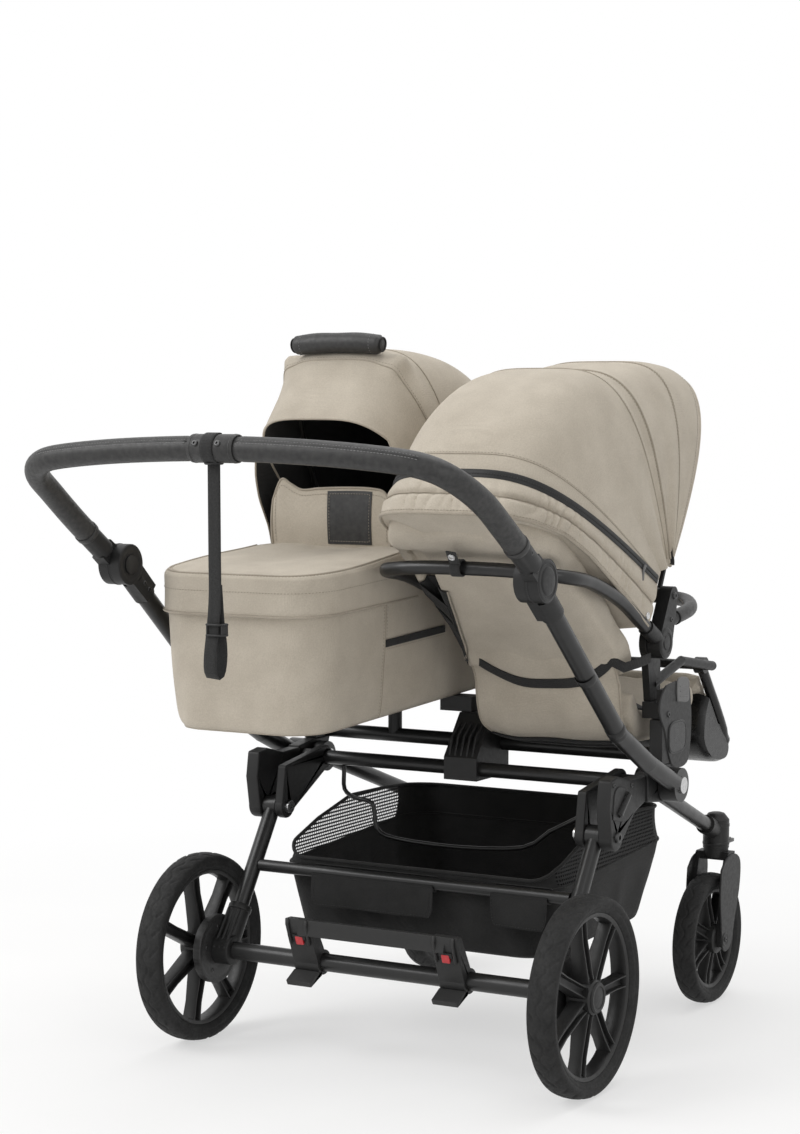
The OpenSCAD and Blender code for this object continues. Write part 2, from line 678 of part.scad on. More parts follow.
module basket() placed("black") {
    y1 = basket_y + basket_l;
    w = basket_wall;
    rim_outside = long_sides(plan_ring(0, basket_half, basket_y, y1, 40, 60, basket_z + basket_h, 0.06));
    rim_inside = long_sides(
        plan_ring(0, basket_half - w, basket_y + w, y1 - w, 36, 56, basket_z + basket_h, 0.06));
    skin(concat([for (r = [
        plan_ring(0, basket_half - 30, basket_y + 24, y1 - 60, 50, 60, basket_z, 0.02),
        plan_ring(0, basket_half - 20, basket_y + 8, y1 - 40, 50, 60, basket_z + 10, 0.02),
        plan_ring(0, basket_half - 8, basket_y + 2, y1 - 16, 44, 60, basket_z + basket_h * 0.55, 0.04)
    ]) long_sides(r)], [rim_outside, raised(rim_outside), raised(rim_inside), rim_inside], [for (r = [
        plan_ring(0, basket_half - 8 - w, basket_y + 2 + w, y1 - 16 - w, 40, 56,
                  basket_z + basket_h * 0.55, 0.04),
        plan_ring(0, basket_half - 20 - w, basket_y + 8 + w, y1 - 40 - w, 46, 56, basket_z + 10 + w, 0.02),
        plan_ring(0, basket_half - 30 - w, basket_y + 24 + w, y1 - 60 - w, 46, 56, basket_z + w, 0.02)
    ]) long_sides(r)]));
}

wire_r = 4;
module basket_wire() placed("dimgray") {
    hook = low_cross + [0, -cross_d / 2 - gap];
    route = [
        for (p = [[-238, 0, 0], [-238, 0, -14], [-232, -8, -40], [-205, -20, -51], [-168, -22, -58],
                  [-158, -24, -99], [-120, -24, -114], [0, -24, -118], [120, -24, -108], [168, -22, -78],
                  [205, -20, -58], [232, -8, -40], [238, 0, -14], [238, 0, 0]])
            at_x(p[0], hook + [p[1], p[2]])
    ];
    sweep(smooth(route, 3), [0, 1, 0], circle_points(wire_r, 8));
}

// Handle

bar_path = let (s = end_x + end_w / 2)
    mirrored([
        at_x(s, joint + arm_dir * (sleeve_l - 10)), at_x(s, joint + arm_dir * (sleeve_out + 4)),
        at_x(s - 1, joint + arm_dir * 140), at_x(s - 5, joint + arm_dir * 202),
        at_x(s - 18, bar + [50, -42]), at_x(s - 48, bar + [23, -23]), at_x(s - 103, bar + [11, -13]),
        at_x(s - 223, bar + [3, -4]), at_x(0, bar)
    ], 0);
bar_up = [0, -0.574, -0.819];
grip_path = [for (i = [1 : len(bar_path) - 2]) bar_path[i]];
bar_sides = 14;

module handle_bar() placed("dimgray")
    sweep(smooth(bar_path, 3), bar_up, circle_points(bar_d / 2, bar_sides));

module handle_grip() placed("#33343a") {
    path = smooth(grip_path, 3);
    loop_skin(concat(
        rings_along(path, bar_up, circle_points(grip_d / 2, bar_sides)),
        backwards(rings_along(path, bar_up, circle_points(bar_d / 2 + gap, bar_sides)))
    ));
}

module handle_clamp() placed("#26272b") difference() {
    x_disc(-clamp_w / 2, clamp_w / 2, bar, clamp_r);
    x_disc(-clamp_w, clamp_w, bar, grip_d / 2 + 0.6);
    block([strap_x - 13, bar[0] - 30, bar[1] - 30], [strap_x + 13, bar[0] + 30, bar[1]]);
}

// Flat neck of width 2 w from a joint's middle out to a distance along a direction
function neck(dir, w, out) =
    let (n = [-dir[1], dir[0]] * w)
    [-n, dir * out - n * 0.9, dir * out + n * 0.9, n];

module handle_ends() placed("dimgray") both() difference() {
    union() {
        x_disc(end_x, end_x + end_w, joint, joint_r);
        slab(end_x, end_x + end_w) translate(joint) polygon(neck(arm_dir, 19, sleeve_l));
        rod(at_x(end_x + end_w / 2, joint + arm_dir * (sleeve_l - 4)),
            at_x(end_x + end_w / 2, joint + arm_dir * sleeve_out), bar_d / 2 + 3);
    }
    rod(bar_path[0] + unit(bar_path[0] - bar_path[1]), bar_path[1] + (bar_path[1] - bar_path[0]),
        bar_d / 2 + gap);
    x_disc(end_x - 1, end_x + end_w - 3, joint, joint_pin_r + run_fit);
}

button_seat = 12;
module handle_knuckles() placed("dimgray") both() difference() {
    union() {
        x_disc(knuckle_x, tube_x, joint, joint_r);
        slab(knuckle_x, tube_x) translate(joint) polygon(neck(tube_dir, 19, 74));
        rod(at_x(tube_x, joint + tube_dir * (joint_r + 3)), at_x(tube_x, joint + tube_dir * 78),
            tube_d / 2 + 3);
        x_disc(knuckle_x, end_x + end_w - 4, joint, joint_pin_r);
    }
    rod(at_x(tube_x, joint + tube_dir * (joint_r + 3)), at_x(tube_x, tube_bend), tube_d / 2 + run_fit);
    x_disc(knuckle_x - 1, knuckle_x + button_seat, joint, button_d / 2 + run_fit);
}

button_travel = 3;
module handle_button(s) side(s)
    x_disc(handle_in, knuckle_x + button_seat - button_travel - gap, joint, button_d / 2);
module handle_button_left() placed("dimgray") handle_button(-1);
module handle_button_right() placed("dimgray") handle_button(1);

// Wrist strap: webbing that hangs from the clamp, with its end turned up into a loop at the slider
strap_w = 21;
strap_t = 2;
strap_x = -4;
strap_top = bar_z - grip_d / 2 - gap;
strap_route = [
    [strap_x, -460, strap_top], [strap_x, -460, 950], [strap_x, -460, 910], [strap_x, -460, 870],
    [strap_x, -460, 830], [strap_x, -460, 790], [strap_x - 1, -461, 760], [strap_x - 3, -463, 730],
    [strap_x - 5, -466, 700], [strap_x - 5, -467, 680], [strap_x - 4, -463, 668], [strap_x - 2, -455, 666],
    [strap_x, -450, 676], [strap_x + 2, -449, 695], [strap_x + 3, -451, 715], [strap_x + 3, -454, 730],
    [strap_x + 2, -456, 750], [strap_x + 1, -457, 775], [strap_x, -457.6, 798]
];
module wrist_strap() placed("#303136") sweep(strap_route, [1, 0, 0], flat_points(strap_t, strap_w));

module strap_slider() placed("black") difference() {
    block([strap_x - 12, -467.3, 726], [strap_x + 15, -449, 744]);
    block([strap_x - 14, -465.1, 720], [strap_x + 17, -451.4, 750]);
}

// Carrycot

function tub_ring(half, y0, y1, r, z) = plan_ring(cot_x, half, y0, y1, r, r, z, cot_rise);
module cot_tub() placed("tan") {
    y0 = -cot_foot;
    top = cot_bottom_z + cot_h;
    w = cot_wall;
    skin([
        tub_ring(tub_half - tub_draw + 1, y0 + tub_draw, cot_head - 26, tub_corner - 10, cot_bottom_z),
        tub_ring(tub_half - 8, y0 + 9, cot_head - 18, tub_corner - 4, cot_bottom_z + 10),
        tub_ring(tub_half - 5, y0 + 5, cot_head - 10, tub_corner, cot_bottom_z + cot_h * 0.35),
        tub_ring(tub_half, y0, cot_head, tub_corner, top),
        tub_ring(tub_half - w, y0 + w, cot_head - w, tub_corner - w, top),
        tub_ring(tub_half - 5 - w, y0 + 5 + w, cot_head - 10 - w, tub_corner - w,
                 cot_bottom_z + cot_h * 0.35),
        tub_ring(tub_half - 10 - w, y0 + 11 + w, cot_head - 20 - w, tub_corner - 10, cot_bottom_z + w)
    ]);
}

module cot_mattress() placed("whitesmoke") {
    half = tub_half - cot_wall - 12;
    y0 = -cot_foot + cot_wall + 13;
    y1 = cot_head - cot_wall - 22;
    z0 = cot_bottom_z + cot_wall + soft_gap;
    skin([
        tub_ring(half - 10, y0 + 8, y1 - 8, 54, z0),
        tub_ring(half, y0, y1, 60, z0 + mattress_h * 0.3),
        tub_ring(half, y0, y1, 60, z0 + mattress_h * 0.7),
        tub_ring(half - 8, y0 + 8, y1 - 8, 54, z0 + mattress_h * 0.92),
        tub_ring(half - 40, y0 + 40, y1 - 40, 44, z0 + mattress_h)
    ]);
}

apron_end = 152;
flap_y = apron_end - 10;
flap_half = 112;
flap_top = 916;
function cover(half, y, r, z, rise, end = 0) = plan_ring(cot_x, half, y, apron_end - end, r, 4, z, rise);
module cot_apron() placed("tan") {
    y0 = -cot_foot - apron_over - 2;
    hem = cot_bottom_z + cot_h - 32;
    inner = tub_half + soft_gap;
    yi = -cot_foot - soft_gap;
    lid = cot_bottom_z + cot_h + soft_gap;
    difference() {
        apron_shell(y0, hem, inner, yi, lid);
        block([cot_x - inner, apron_end - 12, hem - 1],
              [cot_x + inner, apron_end + 1, lid + cot_rise * (apron_end + cot_foot)]);
    }
    translate([cot_x, flap_y, 0]) rotate([90, 0, 0]) linear_extrude(7, center = true) polygon([
        [-flap_half, hem + 80], [flap_half, hem + 80], [flap_half - 2, flap_top - 8],
        [flap_half * 0.5, flap_top], [-flap_half * 0.5, flap_top - 2], [-flap_half + 12, flap_top - 12]
    ]);
}
module apron_shell(y0, hem, inner, yi, lid)
    skin([
        cover(tub_half - 10, -cot_foot + 10, tub_corner, lid, cot_rise, 4),
        cover(inner, yi, tub_corner, lid, cot_rise, 3),
        cover(inner, yi, tub_corner, hem, cot_rise, 3),
        cover(cot_half, y0, tub_corner + 6, hem, cot_rise),
        cover(cot_half, y0, tub_corner + 6, hem + apron_h - 6, apron_rise * 0.7),
        cover(cot_half - 5, y0 + 5, tub_corner + 2, hem + apron_h, apron_rise),
        cover(cot_half - 40, y0 + 40, tub_corner - 15, hem + apron_h + 6, apron_rise),
        cover(cot_half - 100, y0 + 110, 40, hem + apron_h + 12, apron_rise, 6)
    ]);

// Adapter tongue under a shoulder that sits on a mount: x, width, mount's top, shoulder's x range and top
module adapter(x, w, top, x0, x1, up) {
    block([x0, tongue_y[0] - shoulder, top + gap], [x1, tongue_y[1] + shoulder, up]);
    block([x - w / 2, tongue_y[0], top - tongue_l], [x + w / 2, tongue_y[1], top + gap + 1]);
}

module cot_adapters() placed("dimgray") {
    y0 = tongue_y[0] - shoulder;
    y1 = tongue_y[1] + shoulder;
    floor_z = cot_floor(y0) - soft_gap;
    wall_x = cot_x - tub_half + 5 - soft_gap;
    difference() {
        union() {
            adapter(-tongue_x, tongue_w, side_mount_z, -side_x + 2, -block_x + 30, floor_z);
            block([-side_x + 2, y0, floor_z - 5], [wall_x, y1, release[1] + 14]);
        }
        x_disc(-side_x - 1, -side_x + 10, release, release_r + run_fit);
    }
    adapter(-inner_tongue_x, inner_tongue_w, centre_mount_z, -inner_tongue_x - 56,
            -inner_tongue_x + inner_tongue_w / 2, floor_z);
    for (s = [-1, 1]) translate([cot_x, 0, 0]) side(s) {
        block([cot_pivot_x, cot_pivot[0] - 15, cot_pivot[1] - 90],
              [tub_half - cot_wall - 2.7, cot_pivot[0] + 15, cot_pivot[1] + 12]);
        x_disc(cot_pivot_x - eye_w - 2 * gap, cot_pivot_x, cot_pivot, pivot_pin_r);
    }
}

release = [(tongue_y[0] + tongue_y[1]) / 2, side_mount_z + 34];
module cot_release() placed("gray") x_disc(-side_x, -side_x + 10 - release_travel - gap, release, release_r);

cot_hood_profile = smooth([
    [-2, cot_hood_r * 0.614], [30, cot_hood_r * 0.75], [62, cot_hood_r * 0.82], [92, cot_hood_r * 0.875],
    [110, cot_hood_r * 0.945], [119, cot_hood_r], [130, cot_hood_r * 0.955], [141, cot_hood_r * 0.934]
], hood_cuts);
module cot_hood() placed("tan") skin([
    for (p = cot_hood_profile) hood_ring(cot_x, cot_pivot, p[0], cot_hood_half, p[1], fabric_t, hood_steps)
], true);

cot_bow_angle = 119;
module cot_hood_bow() placed("dimgray") {
    w = cot_pivot_x - gap - eye_w / 2;
    r = cot_hood_r - fabric_t - bow_r - soft_gap;
    sweep(bow_path(cot_x, cot_pivot, cot_bow_angle, w, r, hood_steps),
          [0, -sin(cot_bow_angle), cos(cot_bow_angle)], circle_points(bow_r, 8));
    for (s = [-1, 1]) translate([cot_x, 0, 0]) side(s) difference() {
        x_disc(cot_pivot_x - gap - eye_w, cot_pivot_x - gap, cot_pivot, 2 * pivot_pin_r + 2);
        x_disc(cot_pivot_x - 2 * eye_w, cot_pivot_x, cot_pivot, pivot_pin_r + run_fit);
    }
}

carry_l = 170;
carry_d = 33;
module cot_carry_grip() placed("black") {
    r = cot_hood_r + carry_d / 2 + soft_gap;
    path = [for (i = [-4 : 4]) hood_point(cot_x, cot_pivot, cot_bow_angle,
        [carry_l / 2 * i / 4, r - 2.5 * pow(i / 4, 2)])];
    sweep(path, [0, -sin(cot_bow_angle), cos(cot_bow_angle)], circle_points(carry_d / 2, 12));
}

// Seat unit

module side_plate(x0) slab(x0, x0 + plate_w) translate(recline) {
    circle(30);
    polygon([[-24, -8], [-6, -112], [25, -112], [30, -60], [24, 8]]);
    polygon([[10, 12], [24, -14], [50, 0], [50, 28], [24, 28]]);
}

module seat_frame() placed("dimgray") {
    plate_foot = recline_z - 108;
    difference() {
        union() {
            side_plate(plate_right);
            adapter(tongue_x, tongue_w, side_mount_z, plate_right, side_x - 2, plate_foot + 12);
            block([side_x - 13, tongue_y[0] - shoulder, plate_foot],
                  [side_x - 2, tongue_y[1] + shoulder, release[1] + 14]);
            block([bumper_pin[0] - 6, recline_y + 45, bumper_z - 9],
                  [bumper_pin[0] + 6, bumper_pin[1] + 10, bumper_z - gap]);
            translate([bumper_pin[0], bumper_pin[1], bumper_z - 4]) cylinder(h = 26, r = 4);
        }
        x_disc(side_x - 10, side_x + 1, release, release_r + run_fit);
    }
    side_plate(plate_left);
    adapter(inner_tongue_x, inner_tongue_w, centre_mount_z, inner_tongue_x - 6, plate_left + plate_w,
            plate_foot + 12);
    x_disc(plate_right + 1, arm_right + loop_d / 2, recline, recline_pin_d / 2);
    x_disc(arm_left - loop_d / 2, plate_left + 1, recline, recline_pin_d / 2);
    run([[rail_right, recline_y + 10, recline_z - 70], [rail_right, recline_y + 125, front_rail[1] + 20],
         at_x(rail_right, front_rail), at_x(rail_left, front_rail),
         [rail_left, recline_y + 125, front_rail[1] + 20], [rail_left, recline_y + 10, recline_z - 70]],
        rail_r);
}

module seat_release() placed("gray") x_disc(side_x - 10 + release_travel + gap, side_x, release, release_r);

cushion_right = rail_right - rail_r - gap;
cushion_left = max(rail_left + rail_r, centre_mount_w / 2) + soft_gap;
seat_profile = smooth([
    for (p = [[-75, -106], [-42, -152], [20, -168], [115, -169], [190, -154], [235, -122],
              [237, -94], [223, -82], [180, -102], [115, -120], [35, -124], [-13, -108],
              [-39, -74], [-63, -72], [-75, -106]])
        recline + p
], 2);
module seat_cushion() placed("tan") skin(cushion_rings(
    [for (i = [0 : len(seat_profile) - 2]) seat_profile[i]],
    cushion_left, cushion_right, 0.1, 3, 0.03), true);

buckle = recline + [103, -104];
buckle_half = [24, 20, 8];
module harness() placed("black") {
    x = (cushion_left + cushion_right) / 2;
    block(at_x(x, buckle) - buckle_half, at_x(x, buckle) + buckle_half);
    rod(at_x(x, buckle), at_x(x, buckle + [0, -15.4]), 9);
    for (s = [-1, 1]) translate([x, 0, 0]) side(s)
        rod(at_x(20, buckle), at_x(118, buckle + [-78, -10]), 6);
}

bumper_path = let (m = (rail_left + rail_right) / 2, z = bumper_z + bumper_d / 2)
    mirrored([
        [bumper_x, bumper_pin[1] + 6, z], [bumper_x, recline_y + 115, z + 5],
        [bumper_x - 4, recline_y + 185, z + 14], [bumper_x - 40, recline_y + 250, z + 22],
        [bumper_x - 90, recline_y + 272, z + 25], [m, recline_y + 277, z + 26]
    ], m);
module bumper_bar() placed("#26272b") difference() {
    union() {
        sweep(smooth(bumper_path, 4), [0, 0, 1], circle_points(bumper_d / 2, 12));
        translate([bumper_pin[0], bumper_pin[1], bumper_z]) cylinder(h = 22, r = 11);
        left_end = bumper_path[len(bumper_path) - 1];
        rod([left_end[0], recline_y + 50 + soft_gap, left_end[2]], left_end, bumper_d / 2 - 2);
    }
    translate([bumper_pin[0], bumper_pin[1], bumper_z - 1]) cylinder(h = 26, r = 4 + run_fit);
}

rest_x = [rail_left + 20, rail_right - 20];
function rest_point(x, d, h = 0) = at_x(x, front_rail + rest_dir * d + [-rest_dir[1], rest_dir[0]] * h);
// Side view of the foot board: distances along the footrest and heights over its tube
module footrest() placed("#26272b") difference() {
    union() {
        for (x = rest_x) x_disc(x - 9, x + 9, front_rail, rail_r + 6);
        sweep(smooth([
            rest_point(rest_x[1], 12), rest_point(rest_x[1], 60), rest_point(rest_x[1], 115),
            rest_point(rest_x[1] - 4, footrest_l - 20), rest_point(rest_x[1] - 26, footrest_l),
            rest_point(rest_x[0] + 26, footrest_l), rest_point(rest_x[0] + 4, footrest_l - 20),
            rest_point(rest_x[0], 115), rest_point(rest_x[0], 60), rest_point(rest_x[0], 12)
        ], 3), [0, -rest_dir[1], rest_dir[0]], circle_points(footrest_d / 2, 10));
    }
    x_disc(rest_x[0] - 20, rest_x[1] + 20, front_rail, rail_r + run_fit);
}

calf_profile = [
    for (p = [[26, -0.5], [60, -0.5], [100, -0.5], [122, -0.4], [128, 0], [122, 0.4], [100, 0.55], [60, 0.55],
              [26, 0.5], [20, 0]])
        let (q = rest_point(0, p[0], p[1] * calf_t)) [q[1], q[2]]
];
module calf_pad() placed("tan")
    skin(cushion_rings(calf_profile, rest_x[0] + footrest_d / 2 + gap, rest_x[1] - footrest_d / 2 - gap,
                       0.12, 3, 0.03));

// Backrest

loop_path = mirrored([
    at_x(arm_right, recline + [-27, 14]), at_x(arm_right, recline + [-85, 44]),
    at_x(arm_right, recline + [-154, 79]),
    at_x(arm_right, recline + [-255, 112]), at_x(arm_right - 3, recline + [-325, 124]),
    at_x(arm_right - 36, recline + [-354, 130]), at_x(arm_right - 90, recline + [-360, 134]),
    at_x(seat_x, recline + [-361, 135])
], seat_x);
module back_tube() placed("dimgray")
    sweep(smooth(loop_path, 3), [0, 0.36, 0.93], circle_points(loop_d / 2, 12));

module back_brackets() placed("dimgray") {
    for (s = [-1, 1]) translate([seat_x, 0, 0]) side(s) difference() {
        x0 = loop_half - loop_d / 2;
        x1 = loop_half + loop_d / 2;
        union() {
            slab(x0, x1) {
                translate(recline) circle(26);
                translate(hood_pivot) circle(15);
                translate(recline) polygon([[-22, 12], [22, -12], [44, 70], [17, 82]]);
            }
            rod(at_x(loop_half, recline), at_x(loop_half, recline + [-56, 29]), loop_d / 2 + 2);
            x_disc(x0 - eye_w - 2 * gap, x0 + 1, hood_pivot, pivot_pin_r);
        }
        rod(at_x(loop_half, recline + [-25, 13]), at_x(loop_half, recline + [-85, 44]), loop_d / 2 + gap);
        block([x0 - 20, recline_y - 90, recline_z - 40], [x0, recline_y + 20, recline_z + 60]);
        x_disc(x0 - 4, x1 + 1, recline, recline_pin_d / 2 + run_fit);
    }
}

back_profile = smooth([
    for (p = [[-440, 237], [-450, 200], [-420, 174], [-340, 152], [-225, 67], [-125, -6],
              [-75, -63], [-48, -54], [-37, -32], [-93, 32], [-188, 104], [-303, 190],
              [-385, 224], [-415, 247], [-440, 237]])
        recline + p
], 2);
module back_cover() placed("tan") skin(cushion_rings(
    [for (i = [0 : len(back_profile) - 2]) back_profile[i]],
    arm_left + loop_d / 2 + soft_gap, arm_right - loop_d / 2 - soft_gap, 0.06, 3, 0.015), true);

seat_hood_profile = smooth([
    [61, seat_hood_r], [72, seat_hood_r * 0.965], [84, seat_hood_r * 0.915], [101, seat_hood_r * 0.888],
    [119, seat_hood_r * 0.99], [140, seat_hood_r * 1.097], [154, seat_hood_r * 1.153]
], hood_cuts);
module seat_hood() placed("tan") skin([
    for (p = seat_hood_profile) hood_ring(seat_x, hood_pivot, p[0], hood_half, p[1], fabric_t, hood_steps)
], true);

seat_bow_angle = 62.5;
bow_share = 0.9945;
module seat_hood_bow() placed("dimgray") {
    r = seat_hood_r * bow_share - fabric_t - bow_r - soft_gap;
    sweep(bow_path(seat_x, hood_pivot, seat_bow_angle, hood_eye_half, r, hood_steps),
          [0, -sin(seat_bow_angle), cos(seat_bow_angle)], circle_points(bow_r, 8));
    for (s = [-1, 1]) translate([seat_x, 0, 0]) side(s) difference() {
        x_disc(hood_eye_half - eye_w / 2, hood_eye_half + eye_w / 2, hood_pivot, 2 * pivot_pin_r + 2);
        x_disc(hood_eye_half - eye_w, hood_eye_half + eye_w, hood_pivot, pivot_pin_r + run_fit);
    }
}

hinge_blocks();
cross_tubes();
centre_mount();
side_mounts();
handle_tubes();
handle_knuckles();
suspension_housings();
cot_post();
basket();
basket_wire();
pivot_bolts();
handle_bar();
handle_grip();
handle_clamp();
handle_ends();
wrist_strap();
strap_slider();
handle_button_left();
handle_button_right();
rear_legs();
rear_axle();
hub_brackets();
brake_drums();
basket_bar();
brake_bar();
brake_windows();
rear_tyre_left();
rear_tyre_right();
rear_rim_left();
rear_rim_right();
front_legs();
caster_housings();
fork_left();
fork_right();
swivel_lock_left();
swivel_lock_right();
front_tyre_left();
front_tyre_right();
front_rim_left();
front_rim_right();
cot_tub();
cot_mattress();
cot_apron();
cot_adapters();
cot_release();
cot_hood();
cot_hood_bow();
cot_carry_grip();
seat_frame();
seat_cushion();
seat_release();
harness();
bumper_bar();
footrest();
calf_pad();
back_tube();
back_brackets();
back_cover();
seat_hood();
seat_hood_bow();
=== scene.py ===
"""Looks of a side-by-side twin pram: a carrycot on the left and a reclined seat unit on the right.

Shapes are worked out in millimetres, with Y measured from the rear axle, and placed in the frame's metres.
"""
import math

import bmesh
import bpy
import numpy as np
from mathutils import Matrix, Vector
from mathutils.bvhtree import BVHTree


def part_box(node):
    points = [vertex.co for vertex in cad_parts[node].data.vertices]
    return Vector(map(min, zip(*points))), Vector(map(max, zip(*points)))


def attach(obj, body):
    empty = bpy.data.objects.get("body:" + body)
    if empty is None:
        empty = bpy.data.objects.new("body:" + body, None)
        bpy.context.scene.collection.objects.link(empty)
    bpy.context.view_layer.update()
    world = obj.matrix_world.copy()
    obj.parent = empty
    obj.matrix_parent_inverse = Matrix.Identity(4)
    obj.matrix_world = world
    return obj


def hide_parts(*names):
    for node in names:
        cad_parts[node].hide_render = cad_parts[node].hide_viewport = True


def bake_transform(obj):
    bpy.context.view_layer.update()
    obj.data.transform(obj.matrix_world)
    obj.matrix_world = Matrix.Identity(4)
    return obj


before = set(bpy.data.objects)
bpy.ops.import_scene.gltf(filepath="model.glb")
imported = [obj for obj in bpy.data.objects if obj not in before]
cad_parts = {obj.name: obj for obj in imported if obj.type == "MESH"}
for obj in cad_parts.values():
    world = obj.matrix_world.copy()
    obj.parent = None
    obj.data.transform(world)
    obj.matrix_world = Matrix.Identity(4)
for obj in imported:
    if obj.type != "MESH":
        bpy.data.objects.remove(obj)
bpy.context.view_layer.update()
scene = bpy.context.scene

MM = 0.001
wheel_low, wheel_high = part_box("rear_tyre_right")
AXLE_Y = (wheel_low[1] + wheel_high[1]) / 2
REAR_R = (wheel_high[2] - wheel_low[2]) / 2 / MM
TYRE_H = 27
UP = np.array([0.0, 0.0, 1.0])
ACROSS = np.array([1.0, 0.0, 0.0])


def place(points):
    """Millimetres from the rear axle to the frame's metres."""
    p = np.asarray(points, float) * MM
    p[..., 1] += AXLE_Y
    return p


def unplace(points):
    """The frame's metres back to millimetres from the rear axle."""
    p = np.array(points, float)
    p[..., 1] -= AXLE_Y
    return p / MM


def node_box(node):
    """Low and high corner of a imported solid, in millimetres from the rear axle, to a tenth."""
    return np.round(unplace(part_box(node)), 1)


# Camera

CAMERA_AT = Vector((1.985, -3.5204, 1.055))
CAMERA_TO = Vector((-0.0678, 0.0207, 0.5670))
camera_data = bpy.data.cameras.new("camera")
camera_data.lens = 79.67
camera_data.sensor_width = 36
camera_data.shift_y = 0.1173
camera = bpy.data.objects.new("camera", camera_data)
camera.location = CAMERA_AT
camera.rotation_euler = (CAMERA_TO - CAMERA_AT).to_track_quat("-Z", "Y").to_euler()
scene.collection.objects.link(camera)
scene.camera = camera
scene.view_settings.view_transform = "Standard"


# Materials

LOOKS = {}


class Look:
    """A principled material whose textures lie in object space."""

    def __init__(self, name, colour, rough, metal=0.0, coat=0.0, sheen=0.0, specular=0.5):
        LOOKS[name] = self
        self.mat = bpy.data.materials.new(name)
        self.mat.use_nodes = True
        self.nodes = self.mat.node_tree.nodes
        self.links = self.mat.node_tree.links
        self.shader = self.nodes["Principled BSDF"]
        self.height = None
        sockets = self.shader.inputs
        sockets["Base Color"].default_value = (*colour, 1)
        sockets["Roughness"].default_value = rough
        sockets["Metallic"].default_value = metal
        sockets["Coat Weight"].default_value = coat
        sockets["Coat Roughness"].default_value = 0.15
        sockets["Sheen Weight"].default_value = sheen
        sockets["Sheen Roughness"].default_value = 0.5
        sockets["Specular IOR Level"].default_value = specular
        self.coord = self.nodes.new("ShaderNodeTexCoord").outputs["Object"]

    def feed(self, socket, value):
        """Links a socket to another one, or sets its constant."""
        if isinstance(value, bpy.types.NodeSocket):
            self.links.new(value, socket)
        else:
            socket.default_value = value

    def add(self, kind, **sockets):
        n = self.nodes.new("ShaderNode" + kind)
        for key, value in sockets.items():
            self.feed(n.inputs[key.replace("_", " ")], value)
        return n

    def noise(self, size, detail=2.0, stretch=(1, 1, 1)):
        """Noise with features of about size metres."""
        where = self.coord
        if stretch != (1, 1, 1):
            where = self.add("Mapping", Vector=where, Scale=stretch).outputs["Vector"]
        return self.add("TexNoise", Vector=where, Scale=1 / size, Detail=detail).outputs["Fac"]

    def bands(self, axis, period):
        """Waves along one axis with a period in metres."""
        n = self.add("TexWave", Vector=self.coord, Scale=math.pi / (10 * period))
        n.bands_direction = axis
        return n.outputs["Fac"]

    def cells(self, size, feature="F1"):
        n = self.add("TexVoronoi", Vector=self.coord, Scale=1 / size)
        n.feature = feature
        return n.outputs["Distance"]

    def sum(self, a, b, mode="ADD"):
        n = self.nodes.new("ShaderNodeMath")
        n.operation = mode
        self.feed(n.inputs[0], a)
        self.feed(n.inputs[1], b)
        return n.outputs[0]

    def spread(self, fac, low, high, start=0.3, stop=0.7):
        """Maps a texture from start..stop to low..high."""
        n = self.add("MapRange", Value=fac, From_Min=start, From_Max=stop, To_Min=low, To_Max=high)
        return n.outputs["Result"]

    def tint(self, fac, dark, light, start=0.3, stop=0.7):
        ramp = self.nodes.new("ShaderNodeValToRGB")
        self.links.new(fac, ramp.inputs["Fac"])
        ends = ramp.color_ramp.elements
        ends[0].position, ends[1].position = start, stop
        ends[0].color, ends[1].color = (*dark, 1), (*light, 1)
        self.links.new(ramp.outputs["Color"], self.shader.inputs["Base Color"])
        return self

    def gloss(self, fac, low, high):
        self.links.new(self.spread(fac, low, high), self.shader.inputs["Roughness"])
        return self

    def bump(self, fac, depth, strength=1.0):
        """Adds relief with a depth in metres; later calls lie on top of earlier ones."""
        n = self.add("Bump", Height=fac, Distance=depth, Strength=strength)
        if self.height:
            self.links.new(self.height, n.inputs["Normal"])
        self.height = n.outputs["Normal"]
        self.links.new(self.height, self.shader.inputs["Normal"])
        return self

    def weave(self, period, depth):
        across = self.sum(self.bands("X", period), self.bands("Y", period))
        return self.bump(self.sum(across, self.bands("Z", period)), depth, 0.7)


def grey(v, warm=0.0):
    return (v * (1 + warm), v, v * (1 - warm))


def worn(look, dark, light):
    """Paler rubbed edges over a faintly mottled ground."""
    edge = look.nodes.new("ShaderNodeNewGeometry").outputs["Pointiness"]
    rub = look.sum(edge, look.sum(look.noise(0.012, 3), 0.06, "MULTIPLY"))
    return look.tint(rub, dark, light, 0.525, 0.66)


def cloth_look(name, dark, light, period, sheen, wrinkle=0.0012):
    look = Look(name, light, 0.85, sheen=sheen, specular=0.25)
    fine = look.noise(0.0022, 3)
    broad = look.noise(0.05, 2)
    mix = look.sum(look.sum(fine, 0.55, "MULTIPLY"), look.sum(broad, 0.45, "MULTIPLY"))
    look.tint(mix, dark, light, 0.34, 0.66)
    look.gloss(fine, 0.78, 0.92)
    look.bump(look.noise(0.045, 2), wrinkle, 0.4)
    look.bump(fine, 0.0004, 0.35)
    return look.weave(period, 0.00025)


def plastic(name, tone, rough, grain, wear=2.2, coat=0.0):
    look = worn(Look(name, grey(tone), rough, coat=coat, specular=0.3), grey(tone), grey(tone * wear))
    look.gloss(look.noise(0.006, 4), rough - 0.06, rough + 0.08)
    return look.bump(look.noise(grain, 2), 0.00012, 0.5)


def toned(name, tone, rough, size, dark, light, detail=2.0, stretch=(1, 1, 1), **finish):
    """A look whose colour wanders between two tones in patches of about size metres."""
    look = Look(name, tone, rough, **finish)
    return look.tint(look.noise(size, detail, stretch), dark, light)


